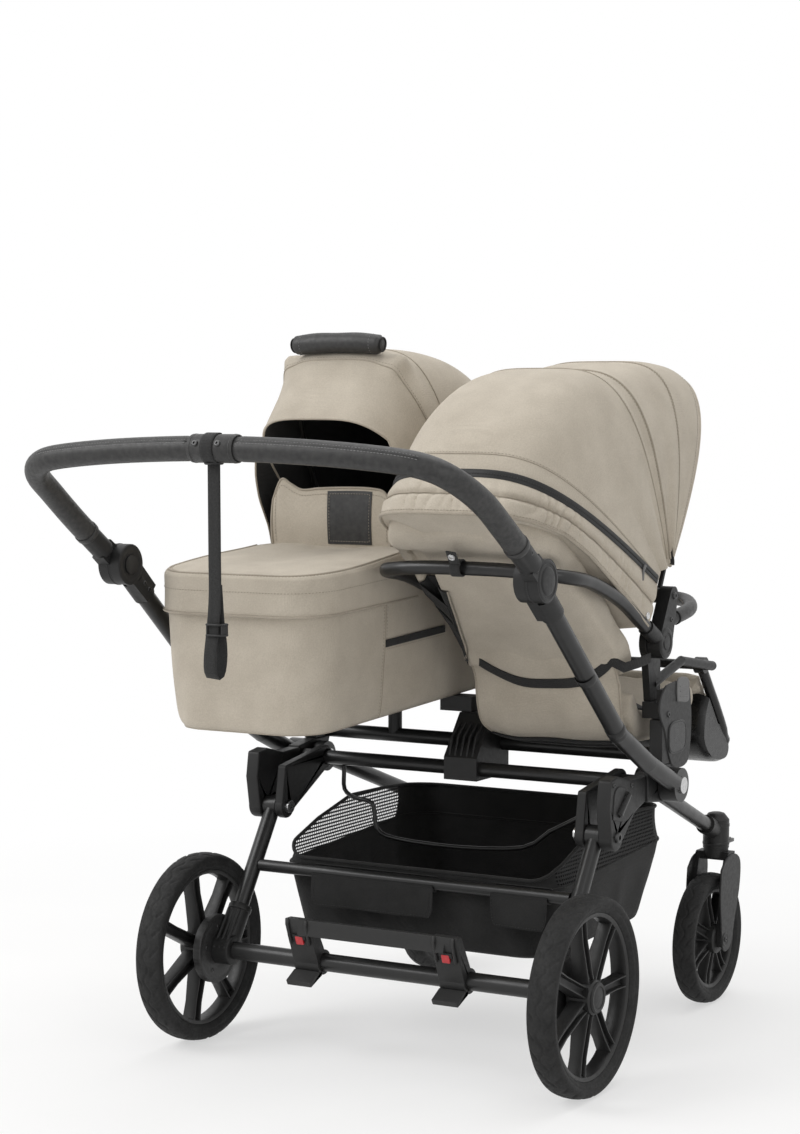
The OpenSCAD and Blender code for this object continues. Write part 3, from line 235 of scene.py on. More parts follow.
def bare_steel(name, tone, rough, dark, light, metal):
    look = toned(name, grey(tone), rough, 0.003, grey(dark), grey(light), 3, metal=metal)
    return look.gloss(look.noise(0.002, 3), rough - 0.06, rough + (0.08 if metal == 1 else 0.06))


def sewing_thread(name, tone, dark, light):
    look = toned(name, tone, 0.7, 0.002, dark, light)
    return look.bump(look.bands("Z", 0.0012), 0.0001, 0.5)


NET_PITCH = 0.006
metal = worn(Look("frame_metal", grey(0.011), 0.36, coat=0.1, specular=0.35), grey(0.01), grey(0.026))
metal.gloss(metal.noise(0.02, 4), 0.32, 0.42)
metal.bump(metal.noise(0.0012, 2), 0.00008, 0.5)
plastic("black_plastic", 0.012, 0.46, 0.0009)
plastic("gloss_plastic", 0.007, 0.3, 0.0009, 1.8, 0.05)
plastic("rim_plastic", 0.012, 0.4, 0.0012)
plastic("grey_plastic", 0.12, 0.5, 0.001, 1.4)
plastic("dark_plastic", 0.024, 0.5, 0.001, 1.4)
red = toned("red_plastic", (0.5, 0.012, 0.02), 0.3, 0.006, (0.42, 0.008, 0.014), (0.55, 0.018, 0.026),
            coat=0.3)
red.bump(red.noise(0.001), 0.00005, 0.4)
drum = toned("drum_metal", grey(0.03), 0.5, 0.004, grey(0.02), grey(0.042), 3, (0.05, 1, 1), metal=0.2)
drum.bump(drum.noise(0.0015, 2, (0.1, 1, 1)), 0.0001, 0.5)
bare_steel("steel", 0.55, 0.28, 0.45, 0.62, 1.0)
bare_steel("dark_steel", 0.06, 0.4, 0.045, 0.08, 0.8)
sewing_thread("grey_thread", grey(0.2), grey(0.15), grey(0.26))
sewing_thread("thread", (0.3, 0.262, 0.21), (0.26, 0.226, 0.18), (0.36, 0.315, 0.255))
tyre = toned("tyre", grey(0.014), 0.72, 0.02, grey(0.011), grey(0.022), 5, specular=0.3)
tyre.gloss(tyre.noise(0.004, 3), 0.62, 0.82)
tyre.bump(tyre.noise(0.0012, 3), 0.0002, 0.5)
hide = toned("leatherette", grey(0.03), 0.46, 0.008, grey(0.018), grey(0.038, 0.02), 4, specular=0.4)
hide.gloss(hide.noise(0.005, 3), 0.38, 0.54)
hide.bump(hide.cells(0.0016, "DISTANCE_TO_EDGE"), 0.0004, 0.6)
web = toned("webbing", grey(0.034), 0.8, 0.0015, grey(0.016), grey(0.034), 3, sheen=0.1, specular=0.25)
web.weave(0.0016, 0.0003)
cloth_look("beige_fabric", (0.45, 0.4, 0.328), (0.56, 0.505, 0.422), 0.0011, 0.15)
cloth_look("beige_piping", (0.34, 0.298, 0.242), (0.45, 0.4, 0.33), 0.0011, 0.1)
cloth_look("white_fabric", (0.7, 0.69, 0.66), (0.84, 0.83, 0.8), 0.0014, 0.1)
cloth_look("black_fabric", grey(0.011), grey(0.025), 0.0013, 0.1)
net = toned("net", grey(0.02), 0.75, 0.003, grey(0.014), grey(0.03), specular=0.3)
holes = net.sum(net.bands("Y", NET_PITCH), net.bands("Z", NET_PITCH), "MULTIPLY")
net.links.new(net.spread(holes, 1.0, 0.0, 0.36, 0.46), net.shader.inputs["Alpha"])
net.bump(net.noise(0.001), 0.0002, 0.5)


# Geometry helpers

def unit(v):
    v = np.asarray(v, float)
    return v / np.maximum(np.linalg.norm(v, axis=-1, keepdims=True), 1e-12)


def smooth(points, steps=6):
    """Catmull-Rom curve through the points, each span cut into steps."""
    p = np.asarray(points, float)
    out = []
    for i in range(len(p) - 1):
        a, b, c, d = p[max(i - 1, 0)], p[i], p[i + 1], p[min(i + 2, len(p) - 1)]
        for t in np.arange(steps) / steps:
            out.append(b + (c - a) * t / 2 + (2 * a - 5 * b + 4 * c - d) * t**2 / 2
                       + (3 * b - a - 3 * c + d) * t**3 / 2)
    out.append(p[-1])
    return np.array(out)


def walked(path):
    """The length of a path up to each of its points."""
    p = np.asarray(path, float)
    return np.concatenate([[0], np.cumsum(np.linalg.norm(np.diff(p, axis=0), axis=1))])


def even(points, count):
    """The same path in count points at equal distances."""
    p = np.asarray(points, float)
    s = walked(p)
    return np.stack([np.interp(np.linspace(0, s[-1], count), s, p[:, k]) for k in range(p.shape[1])], 1)


def closed(points, count, steps=4):
    """A smooth outline through the points and back to the first, in count points at equal distances."""
    p = np.asarray(points, float)
    return even(smooth(np.concatenate([p, p[:1]]), steps), count + 1)[:-1]


def at_x(x, side_view):
    """Points of a side view, in (Y, Z), at one X."""
    p = np.asarray(side_view, float)
    return np.concatenate([np.full((*p.shape[:-1], 1), float(x)), p], -1)


def directions(path, closed=False):
    """Unit directions along a path."""
    p = np.asarray(path, float)
    if closed:
        return unit(np.roll(p, -1, 0) - np.roll(p, 1, 0))
    return unit(np.gradient(p, axis=0))


def circle(count, start=0.0):
    a = start + np.arange(count) * 2 * math.pi / count
    return np.stack([np.cos(a), np.sin(a)], 1)


def round_bar(x, centre, r, start, stop, count):
    """An arc round a bar that runs along X, between two angles in degrees."""
    a = np.radians(np.linspace(start, stop, count))
    return at_x(x, np.asarray(centre) + r * np.stack([np.cos(a), np.sin(a)], 1))


def axes(axis):
    """An axis as a unit vector, and two directions across it."""
    axis = unit(axis)
    u = unit(np.cross(axis, UP if abs(axis[2]) < 0.9 else ACROSS))
    return axis, u, np.cross(axis, u)


def away_from_middle(path):
    """Outward directions along an open arch in two dimensions."""
    t = directions(path)
    out = np.stack([t[:, 1], -t[:, 0]], 1)
    return out * np.sign(np.sum(out * path, 1))[:, None]


def ease(x, a, b):
    """0 up to a, 1 from b on, and a soft step between."""
    t = np.clip((np.asarray(x, float) - a) / (b - a), 0, 1)
    return t * t * (3 - 2 * t)


# Places of the looks in a piece of sewn cloth
CLOTH, LINING, PIPING, THREAD = range(4)


class Piece:
    """A mesh under construction, in millimetres from the rear axle."""

    def __init__(self, name, *looks):
        self.name = name
        self.looks = looks
        self.verts = []
        self.faces = []
        self.index = []

    def add(self, verts, faces, look=0):
        base = len(self.verts)
        self.verts.extend(np.asarray(verts, float).reshape(-1, 3).tolist())
        for f in faces:
            self.faces.append([base + i for i in f])
            self.index.append(look)
        return self

    def grid(self, rows, ring=False, loop=False, look=0, caps=False):
        """Quads through rows of points; ring closes each row, loop joins the last row to the first."""
        rows = np.asarray(rows, float)
        m, n = rows.shape[:2]
        faces = []
        for i in range(m if loop else m - 1):
            for j in range(n if ring else n - 1):
                below, beside = (i + 1) % m, (j + 1) % n
                faces.append([i * n + j, i * n + beside, below * n + beside, below * n + j])
        if caps:
            faces.append(list(range(n))[::-1])
            faces.append([(m - 1) * n + j for j in range(n)])
        return self.add(rows, faces, look)

    def shell(self, rows, depth, look=0, inner=None, ring=False):
        """A cloth of some thickness: the rows, the same rows set in by depth, and the edges between."""
        rows = np.asarray(rows, float)
        du = np.gradient(rows, axis=0)
        dv = np.roll(rows, -1, 1) - np.roll(rows, 1, 1) if ring else np.gradient(rows, axis=1)
        inside = rows - unit(np.cross(du, dv)) * depth
        self.grid(rows, ring, look=look)
        self.grid(inside[:, ::-1], ring, look=look if inner is None else inner)
        edges = [(rows[0], inside[0]), (inside[-1], rows[-1])]
        if not ring:
            edges += [(inside[:, 0], rows[:, 0]), (rows[:, -1], inside[:, -1])]
        for a, b in edges:
            self.grid([b, a], ring, look=look)
        return self

    def tube(self, path, radius, sides=10, up=UP, look=0, closed=False, squeeze=(1, 1)):
        """A round bar along a path, with rounded ends."""
        p = np.asarray(path, float)
        r = np.broadcast_to(np.asarray(radius, float), len(p)).copy()
        t = directions(p, closed)
        if not closed:
            p = np.concatenate([[p[0] - t[0] * r[0] * 0.4], p, [p[-1] + t[-1] * r[-1] * 0.4]])
            r = np.concatenate([[r[0] * 0.6], r, [r[-1] * 0.6]])
            t = directions(p)
        n = unit(np.cross(np.asarray(up, float), t))
        b = np.cross(t, n)
        c = circle(sides)
        rows = (p[:, None] + n[:, None] * (c[:, :1] * squeeze[0])[None] * r[:, None, None]
                + b[:, None] * (c[:, 1:] * squeeze[1])[None] * r[:, None, None])
        return self.grid(rows, ring=True, loop=closed, look=look, caps=not closed)

    def strap(self, path, wide, width, thick, look=0):
        """Flat webbing along a path; wide is the direction of its width."""
        p = np.asarray(path, float)
        t = directions(p)
        w = unit(np.broadcast_to(np.asarray(wide, float), p.shape))
        n = unit(np.cross(t, w))
        w = unit(np.cross(n, t))
        section = np.array([[1, -0.4], [1, 0.4], [0.92, 1], [0.45, 1], [-0.45, 1], [-0.92, 1], [-1, 0.4],
                            [-1, -0.4], [-0.92, -1], [-0.45, -1], [0.45, -1], [0.92, -1]]) / 2
        rows = (p[:, None] + w[:, None] * (section[:, :1] * width)[None]
                + n[:, None] * (section[:, 1:] * thick)[None])
        return self.grid(rows, ring=True, caps=True, look=look)

    def turned(self, at, axis, profile, sides=32, look=0):
        """A turned shape about an axis, from (along, radius) pairs; it closes where the radius is 0."""
        axis, u, v = axes(axis)
        c = circle(sides)
        rows = [np.asarray(at) + axis * a + r * (c[:, :1] * u + c[:, 1:] * v) for a, r in profile]
        return self.grid(rows, ring=True, look=look)

    def screw(self, at, axis, r, look=0):
        """A domed head with a hexagon socket."""
        axis, u, v = axes(axis)
        c = circle(24)
        angle = np.arange(24) * 2 * math.pi / 24
        hexagon = 1 / np.cos((angle + math.pi / 6) % (math.pi / 3) - math.pi / 6)
        rows = []
        for along, radius, six in ((-0.3, 1, 0), (0.25, 1, 0), (0.45, 0.85, 0), (0.5, 0.55, 0),
                                   (0.5, 0.42, 1), (0.15, 0.4, 1), (0.1, 0.01, 0)):
            k = r * radius * (hexagon if six else np.ones(24))
            rows.append(np.asarray(at) + axis * r * along + k[:, None] * (c[:, :1] * u + c[:, 1:] * v))
        return self.grid(rows, ring=True, look=look)

    def snap(self, at, axis, r=6, look=0):
        """A press stud: a rolled rim round a low dome."""
        return self.turned(at, axis, [(-1, r * 0.9), (1.0, r), (1.8, r * 0.9), (1.8, r * 0.72),
                                      (1.1, r * 0.66), (1.6, r * 0.4), (1.8, 0.05)], 20, look)

    def plate(self, outline, x0, x1, edge=1.5, look=0):
        """A moulded plate between two X planes, with chamfered edges, from an outline in (Y, Z)."""
        o = np.asarray(outline, float)
        area = np.sum(o[:, 0] * np.roll(o[:, 1], -1) - np.roll(o[:, 0], -1) * o[:, 1])
        if area < 0:
            o = o[::-1]
        t = directions(o, True)
        inward = np.stack([-t[:, 1], t[:, 0]], 1)
        rows = []
        for x, set_in in ((x0, edge), (x0 + edge, 0), (x1 - edge, 0), (x1, edge)):
            rows.append(at_x(x, o + inward * set_in))
        return self.grid(rows, ring=True, caps=True, look=look)

    def stitches(self, path, lift, pitch=5.5, length=3.4, r=0.5, look=0):
        """A row of thread dashes along a path; lift is the outward direction at each point."""
        p = np.asarray(path, float)
        lift = np.broadcast_to(np.asarray(lift, float), p.shape)
        s = walked(p)

        def at(values, x):
            return np.array([np.interp(x, s, values[:, k]) for k in range(3)])

        for start in np.arange(pitch / 2, s[-1] - length, pitch):
            a, b = at(p, start), at(p, start + length)
            out = unit(at(lift, start + length / 2))
            middle = (a + b) / 2 + out * r * 0.9
            side = unit(np.cross(b - a, out)) * r
            rows = []
            for q, k in ((a - out * r * 0.3, 0.6), (middle, 1), (b - out * r * 0.3, 0.6)):
                rows.append([q + side * k, q + out * r * k, q - side * k, q - out * r * k])
            self.grid(rows, ring=True, caps=True, look=look)
        return self

    def mesh(self):
        m = bpy.data.meshes.new(self.name)
        m.from_pydata(place(np.array(self.verts)).tolist(), [], self.faces)
        m.polygons.foreach_set("material_index", self.index)
        b = bmesh.new()
        b.from_mesh(m)
        bmesh.ops.remove_doubles(b, verts=b.verts, dist=1e-6)
        bmesh.ops.recalc_face_normals(b, faces=b.faces)
        b.to_mesh(m)
        b.free()
        return m

    def make(self, body=None, stands_for=(), angle=40, subdivide=0):
        o = bpy.data.objects.new(self.name, self.mesh())
        scene.collection.objects.link(o)
        return dress(o, self.looks, body, stands_for, angle, subdivide)


def dress(o, looks, body=None, stands_for=(), angle=40, subdivide=0):
    """Gives an object its materials, shading and place in the frame."""
    for name in looks:
        o.data.materials.append(LOOKS[name].mat)
    shade(o.data, angle)
    if subdivide:
        s = o.modifiers.new("subdivide", "SUBSURF")
        s.levels = s.render_levels = subdivide
    if stands_for:
        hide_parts(*stands_for)
    if body:
        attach(o, body)
    return o


def shade(mesh, angle):
    """Smooth shading, with edges sharper than the angle kept."""
    mesh.polygons.foreach_set("use_smooth", [True] * len(mesh.polygons))
    mesh.set_sharp_from_angle(angle=math.radians(angle))


class Surface:
    """A finished object's outside, to lay seams and straps on."""

    def __init__(self, o):
        m = o.evaluated_get(bpy.context.evaluated_depsgraph_get()).to_mesh()
        self.tree = BVHTree.FromPolygons([v.co for v in m.vertices], [list(p.vertices) for p in m.polygons])
        o.evaluated_get(bpy.context.evaluated_depsgraph_get()).to_mesh_clear()

    def drop(self, points, along, reach=200, lift=0.0):
        """Moves each point onto the surface along a direction, and gives the outward directions too."""
        along = unit(along)
        where, out = [], []
        for p in np.asarray(points, float):
            start = place(p - along * reach)
            hit, normal, _, _ = self.tree.ray_cast(Vector(start), Vector(along), 2 * reach * MM)
            if hit is None:
                hit, normal, _, _ = self.tree.find_nearest(Vector(place(p)))
            normal = np.array(normal)
            if normal @ along > 0:
                normal = -normal
            where.append(unplace(hit) + normal * lift)
            out.append(normal)
        return np.array(where), np.array(out)


def both(make):
    """Makes the left and the right one of a pair; the side is the sign of its X."""
    for side, name in ((-1, "left"), (1, "right")):
        make(side, name)


def blend(o, start, end):
    """Bakes a piece's placement into its mesh."""
    tuple(place(start))
    tuple(place(end))
    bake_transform(o)


def mirror_x(path, x=0.0):
    """A path mirrored across one X."""
    p = np.array(path, float)
    p[..., 0] = 2 * x - p[..., 0]
    return p


# Wrist strap, hanging from the handle with its end turned up into a loop at the slider

STRAP_X = -4
STRAP_W = 21
STRAP_T = 2
strap_route = np.array([
    [0, -460, 970.7], [0, -460, 950], [0, -460, 910], [0, -460, 870], [0, -460, 830], [0, -460, 790],
    [-1, -461, 760], [-3, -463, 730], [-5, -466, 700], [-5, -467, 680], [-4, -463, 668], [-2, -455, 666],
    [0, -450, 676], [2, -449, 695], [3, -451, 715], [3, -454, 730], [2, -456, 750], [1, -457, 775],
    [0, -457.6, 798],
]) + [STRAP_X, 0, 0]
strap_line = even(smooth(strap_route, 4), 60)
strap = Piece("wrist_strap_web", "webbing", "thread")
strap.strap(strap_line, ACROSS, STRAP_W, STRAP_T)
strap_piece = strap.make("handle", ["wrist_strap"], 60)
slider = Piece("strap_slider_moulded", "black_plastic")
for z in (727.5, 742.5):
    ring = [[STRAP_X + x, y, z] for x, y in ((-11, -466), (14, -466), (14, -450.2), (-11, -450.2))]
    slider.tube(closed(ring, 23, 3), 1.6, 8, closed=True)
for x in (-11, 14):
    slider.strap([[STRAP_X + x, -458, 726.5], [STRAP_X + x, -458, 743.5]], (0, 1, 0), 16, 2.4)
slider_piece = slider.make("handle", ["strap_slider"], 50)
tuple(place(strap_route[0]))
[tuple(p) for p in place(strap_line)]


# Rigid solids keep their shape and get rounded edges and a finish

CAD_LOOK = {
    "frame_metal": ["cross_tubes", "handle_tubes", "handle_bar", "rear_legs", "rear_axle", "basket_bar",
                    "front_legs", "back_tube", "cot_hood_bow", "seat_hood_bow", "basket_wire"],
    "black_plastic": ["hinge_blocks", "centre_mount", "side_mounts", "handle_knuckles", "suspension_housings",
                      "cot_post", "handle_ends", "handle_button_left", "handle_button_right", "hub_brackets",
                      "caster_housings", "fork_left", "fork_right", "cot_adapters", "seat_frame",
                      "back_brackets"],
    "gloss_plastic": ["footrest"],
    "dark_plastic": ["brake_bar"],
    "grey_plastic": ["swivel_lock_left", "swivel_lock_right", "cot_release", "seat_release"],
    "red_plastic": ["brake_windows"],
    "drum_metal": ["brake_drums"],
    "steel": ["pivot_bolts"],
}
EDGE = {"centre_mount": 3.0, "suspension_housings": 3.0, "hinge_blocks": 2.5, "side_mounts": 2.5,
        "brake_bar": 3.0, "handle_ends": 2.5, "handle_knuckles": 2.5, "back_brackets": 2.5,
        "cot_adapters": 2.0, "seat_frame": 2.0}
for look, names in CAD_LOOK.items():
    for name in names:
        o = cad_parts[name]
        o.data.materials.clear()
        o.data.materials.append(LOOKS[look].mat)
        o.data.polygons.foreach_set("use_smooth", [True] * len(o.data.polygons))
        weld = o.modifiers.new("weld", "WELD")
        weld.merge_threshold = 2e-5
        bevel = o.modifiers.new("edges", "BEVEL")
        bevel.width = EDGE.get(name, 1.0) * MM
        bevel.segments = 2
        bevel.limit_method = "ANGLE"
        bevel.angle_limit = math.radians(38)
        normals = o.modifiers.new("normals", "WEIGHTED_NORMAL")
        normals.keep_sharp = False


# Wheels

GROOVE_DEPTH = 1.3
SIPE_DEPTH = 1.6
SPOKES = 7


def tyre_piece(name, body, node, x, y, r, w, waves, sipes):
    """A tyre with a wavy groove round the middle, slanted sipes on the shoulders and a line on the wall."""
    half = [[r - TYRE_H * k, s] for k, s in ((1, 0.32), (0.8, 0.42), (0.6, 0.465), (0.35, 0.5), (0.15, 0.44))]
    half = np.array(half + [[r - 1.5, 0.3], [r, 0.12]]) * [1, w]
    outline = even(smooth(np.concatenate([half * [1, -1], half[::-1]]), 4), 64)
    steps = 420
    angle = np.arange(steps) * 2 * math.pi / steps
    radius, across = outline[:, 0][None], outline[:, 1][None]
    share = np.abs(across) / (w / 2)
    wave = 0.1 * w * np.sin(waves * angle)[:, None]
    groove = np.exp(-(((across - wave) / (0.045 * w)) ** 4))
    slant = (sipes * angle[:, None] / (2 * math.pi) + share * 0.9 + 0.5 * (across > 0)) % 1
    sipe = np.exp(-(((slant - 0.5) / 0.09) ** 4)) * ease(share, 0.32, 0.42) * (1 - ease(share, 0.86, 0.94))
    on_tread = radius > r - TYRE_H * 0.4
    cut = (GROOVE_DEPTH * groove + SIPE_DEPTH * sipe) * on_tread
    wall = 0.7 * np.exp(-(((radius - (r - TYRE_H * 0.62)) / 0.9) ** 2)) * (share > 0.5)
    out = radius - cut
    rows = np.stack([x + across - np.sign(across) * wall + 0 * angle[:, None],
                     y + out * np.cos(angle)[:, None], r + out * np.sin(angle)[:, None]], 2)
    piece = Piece(name, "tyre")
    piece.grid(rows, ring=True, loop=True)
    return piece.make(body, [node], 60)


def rim_piece(name, body, node, side, x, y, r, w, hub_r, hub_w, cap):
    """A moulded rim: seven double spokes with a web between them, a hub and a round cap on the outside."""
    rim_r = r - TYRE_H - 0.4
    half = w * 0.31
    at = np.array([x, y, r])
    axis = ACROSS * side
    piece = Piece(name, "rim_plastic", "black_plastic", "steel")
    piece.turned(at, axis, [(-half, rim_r), (-half, rim_r - 2), (-half + 2, rim_r - 6),
                            (-half * 0.5, rim_r - 8), (half * 0.5, rim_r - 8), (half - 2, rim_r - 6),
                            (half, rim_r - 2), (half, rim_r), (half * 0.5, rim_r - 0.5),
                            (-half * 0.5, rim_r - 0.5), (-half, rim_r)], 112)
    hub = hub_w / 2
    piece.turned(at, axis, [
        (-hub, 8), (-hub, hub_r - 4), (-hub + 3, hub_r), (hub - 3, hub_r), (hub, hub_r - 3), (hub, 8),
        (-hub, 8)], 48)
    for i in range(SPOKES):
        a = 2 * math.pi * i / SPOKES
        out = np.array([0, math.cos(a), math.sin(a)])
        across = np.array([0, -math.sin(a), math.cos(a)])
        for s in (-1, 1):
            rows = []
            for d, t, depth in ((hub_r - 3, 4.4, 0.5), (hub_r + 10, 3.6, 0.46), (rim_r * 0.72, 3.4, 0.36),
                                (rim_r - 9, 4.2, 0.4), (rim_r - 5, 6.0, 0.44)):
                centre = at + out * d + across * s * (8.5 - 1.2 * math.sin(math.pi * d / rim_r))
                h, k = w * depth / 1.6, t / 2
                rows.append([centre + axis * u * h + across * v * k
                             for u, v in ((-1, -0.5), (-0.8, -1), (0.8, -1), (1, -0.5), (1, 0.5), (0.8, 1),
                                          (-0.8, 1), (-1, 0.5))])
            piece.grid(rows, ring=True, caps=True)
        web_rows = []
        for d, h in ((hub_r - 2, 0.26), (hub_r + 16, 0.12), (rim_r * 0.7, 0.06), (rim_r - 6, 0.1)):
            centre = at + out * d
            web_rows.append([centre + axis * u * w * h + across * v * 8 for u, v in
                             ((-1, -1), (-0.55, 0), (-1, 1), (1, 1), (0.55, 0), (1, -1))])
        piece.grid(web_rows, ring=True, caps=True)
    for s in ((1, -1) if cap == 0 else (1,)):
        top = hub + cap
        piece.turned(at, axis * s, [(top - 6, hub_r - 2.5), (top - 2, hub_r - 3), (top, hub_r - 5),
                                    (top - 0.2, hub_r - 9), (top - 1.4, hub_r - 10), (top - 1.2, hub_r - 11),
                                    (top - 0.4, hub_r * 0.3), (top - 0.2, 0.05)], 40, 1)
    return piece.make(body, [node], 35)


rear_low, rear_high = node_box("rear_tyre_right")
front_low, front_high = node_box("front_tyre_right")
REAR_X = (rear_low[0] + rear_high[0]) / 2
REAR_W = rear_high[0] - rear_low[0]
FRONT_X, WHEELBASE = (front_low[:2] + front_high[:2]) / 2
FRONT_R = (front_high[2] - front_low[2]) / 2
FRONT_W = front_high[0] - front_low[0]


def wheels(side, name):
    """The rear and the front wheel of one side."""
    for end, x, y, r, w, waves, sipes, hub in (
            ("rear", REAR_X, 0, REAR_R, REAR_W, 24, 30, (27, 42, 4)),
            ("front", FRONT_X, WHEELBASE, FRONT_R, FRONT_W, 20, 24, (26, 44, 0))):
        which = end + "_%s_" + name
        body = which % "wheel"
        tyre_piece("tyre_%s_%s" % (end, name), body, which % "tyre", side * x, y, r, w, waves, sipes)
        rim_piece("rim_%s_%s" % (end, name), body, which % "rim", side, side * x, y, r, w, *hub)


both(wheels)


# Handle

clamp_low, clamp_high = node_box("handle_clamp")
BAR = (clamp_low + clamp_high) / 2
JOINT = np.array([0, -193, 801.0])
ARM = np.array([0, -0.819, 0.574])
GRIP_R = 18
CLAMP_HALF = (clamp_high[0] - clamp_low[0]) / 2
END_MID = 372.65
grip_half = np.array([
    [END_MID, *(JOINT + ARM * 92)[1:]], [END_MID - 1, *(JOINT + ARM * 140)[1:]],
    [END_MID - 5, *(JOINT + ARM * 202)[1:]], [END_MID - 18, -410, 947], [END_MID - 48, -437, 966],
    [END_MID - 103, -449, 976], [END_MID - 223, -457, 985], [0, -460, 989],
])
grip_line = even(smooth(np.concatenate([grip_half, mirror_x(grip_half)[-2::-1]]), 8), 150)
grip = Piece("grip_sleeve", "leatherette", "grey_thread")
pinch = 1 - 0.05 * np.exp(-((np.abs(grip_line[:, 0]) - 40) / 3.0) ** 2)
grip.tube(grip_line, GRIP_R * pinch, 28, (0, -0.574, -0.819))
SEAM_FACE = np.array([0, -0.8, 0.6])
sewn = grip_line[(np.abs(grip_line[:, 0]) < 318) & (grip_line[:, 1] < -425)]
sewn_way = directions(sewn)
seam_side = unit(SEAM_FACE - (sewn_way @ SEAM_FACE)[:, None] * sewn_way)
seam_out = np.cross(sewn_way, seam_side)
for part in (sewn[:, 0] < -CLAMP_HALF, sewn[:, 0] > CLAMP_HALF):
    grip.tube((sewn + seam_side * GRIP_R * 0.985)[part], 0.8, 6)
    for shift in (-2.6, 2.6):
        lean = unit(seam_side + seam_out * shift / GRIP_R)[part]
        grip.stitches(sewn[part] + lean * GRIP_R * 0.995, lean, 5, 3.4, 0.55, 1)
for end in (0, -1):
    grip.turned(grip_line[end], directions(grip_line)[end], [(-5, 18.6), (-4, 19.2), (4, 19.2), (5, 18.6)],
                32)
grip.make("handle", ["handle_grip"], 50)

clamp = Piece("clamp_sleeve", "leatherette", "dark_steel", "black_plastic", "webbing")
clamp.turned(BAR, ACROSS, [(-CLAMP_HALF, 18.2), (-CLAMP_HALF, 19.4), (-CLAMP_HALF + 1.2, 20.2),
                           (CLAMP_HALF - 1.2, 20.2), (CLAMP_HALF, 19.4), (CLAMP_HALF, 18.2),
                           (-CLAMP_HALF, 18.2)], 48)
for x in (-CLAMP_HALF + 5, CLAMP_HALF - 5):
    clamp.turned(BAR + ACROSS * x, ACROSS, [(-1.4, 20.1), (-0.8, 20.6), (0.8, 20.6), (1.4, 20.1)], 48)
for x in (STRAP_X - 19, STRAP_X + 19):
    out = unit((0, -0.93, 0.37))
    clamp.screw(BAR + ACROSS * x + out * 20.2, out, 4.6, 1)
clamp.strap(round_bar(STRAP_X, BAR[1:], 21.3, 75, 262, 24), ACROSS, STRAP_W, STRAP_T, 3)
clamp.turned(BAR + np.array([STRAP_X, 0, -19.6]), (0, 0, -1), [(0, 14), (2, 13.6), (3, 12), (3, 0.05)], 24, 2)
clamp.make("handle", ["handle_clamp"], 40)


JOINT_OUT = 383.5
JOINT_IN = 345.0
TUBE_X = 362.0
TUBE_BEND = (92, 548.0)
TUBE_RUN = unit((0, -295, 253))
TUBE_R = 15.0


def handle_joint(side, name):
    """Covers, screws and the index button at one handle joint."""
    out = ACROSS * side
    outer = Piece("joint_cover_" + name, "black_plastic", "dark_steel")
    face = np.array([side * JOINT_OUT, *JOINT[1:]])
    outer.turned(face, out, [(-0.5, 31), (0.6, 30.5), (1.6, 28.5), (1.6, 26), (0.7, 25), (0.7, 21), (1.8, 20),
                             (2.4, 17), (2.8, 9), (2.9, 0.05)], 48)
    outer.turned(face + out * -10.5, out, [(-7.6, 32.2), (-7.0, 32.8), (-6.0, 32.8), (-5.4, 32.2)], 48)
    for d in (54, 76):
        outer.screw(face + ARM * d + out * (-0.4 if d < 60 else 5.6), out, 4.2, 1)
    outer.make("handle", (), 40)
    inner = Piece("joint_ring_" + name, "black_plastic", "dark_steel")
    ring = np.array([side * JOINT_IN, *JOINT[1:]])
    inner.turned(ring, -out, [(-0.4, 31.5), (0.8, 31), (1.4, 29), (1.4, 23), (0.6, 21.5), (0.6, 17),
                              (-1, 16.4)], 48)
    for d in (48, 64):
        inner.screw(ring - TUBE_RUN * d, -out, 4, 1)
    inner.make("handle_frame", (), 40)
    seam = Piece("tube_bands_" + name, "black_plastic")
    bend = np.array([side * TUBE_X, *TUBE_BEND])
    for d, grow in ((12, 0.7), (150, 0.5)):
        seam.turned(bend + TUBE_RUN * d, TUBE_RUN, [(-7, TUBE_R), (-6, TUBE_R + grow), (6, TUBE_R + grow),
                                                    (7, TUBE_R)], 32)
    seam.make("handle_frame", (), 40)


both(handle_joint)


# Hoods

def arch_path(w, r, count, start=2):
    """One hood ring of half-width w and reach r, in even steps from side to side over the crown."""
    t = np.radians(np.linspace(start, 180 - start, 361))
    x = w * np.sign(np.cos(t)) * np.sqrt(np.abs(np.cos(t)))
    y = r * np.sin(t) ** 0.6
    return even(np.stack([x, y], 1), count)


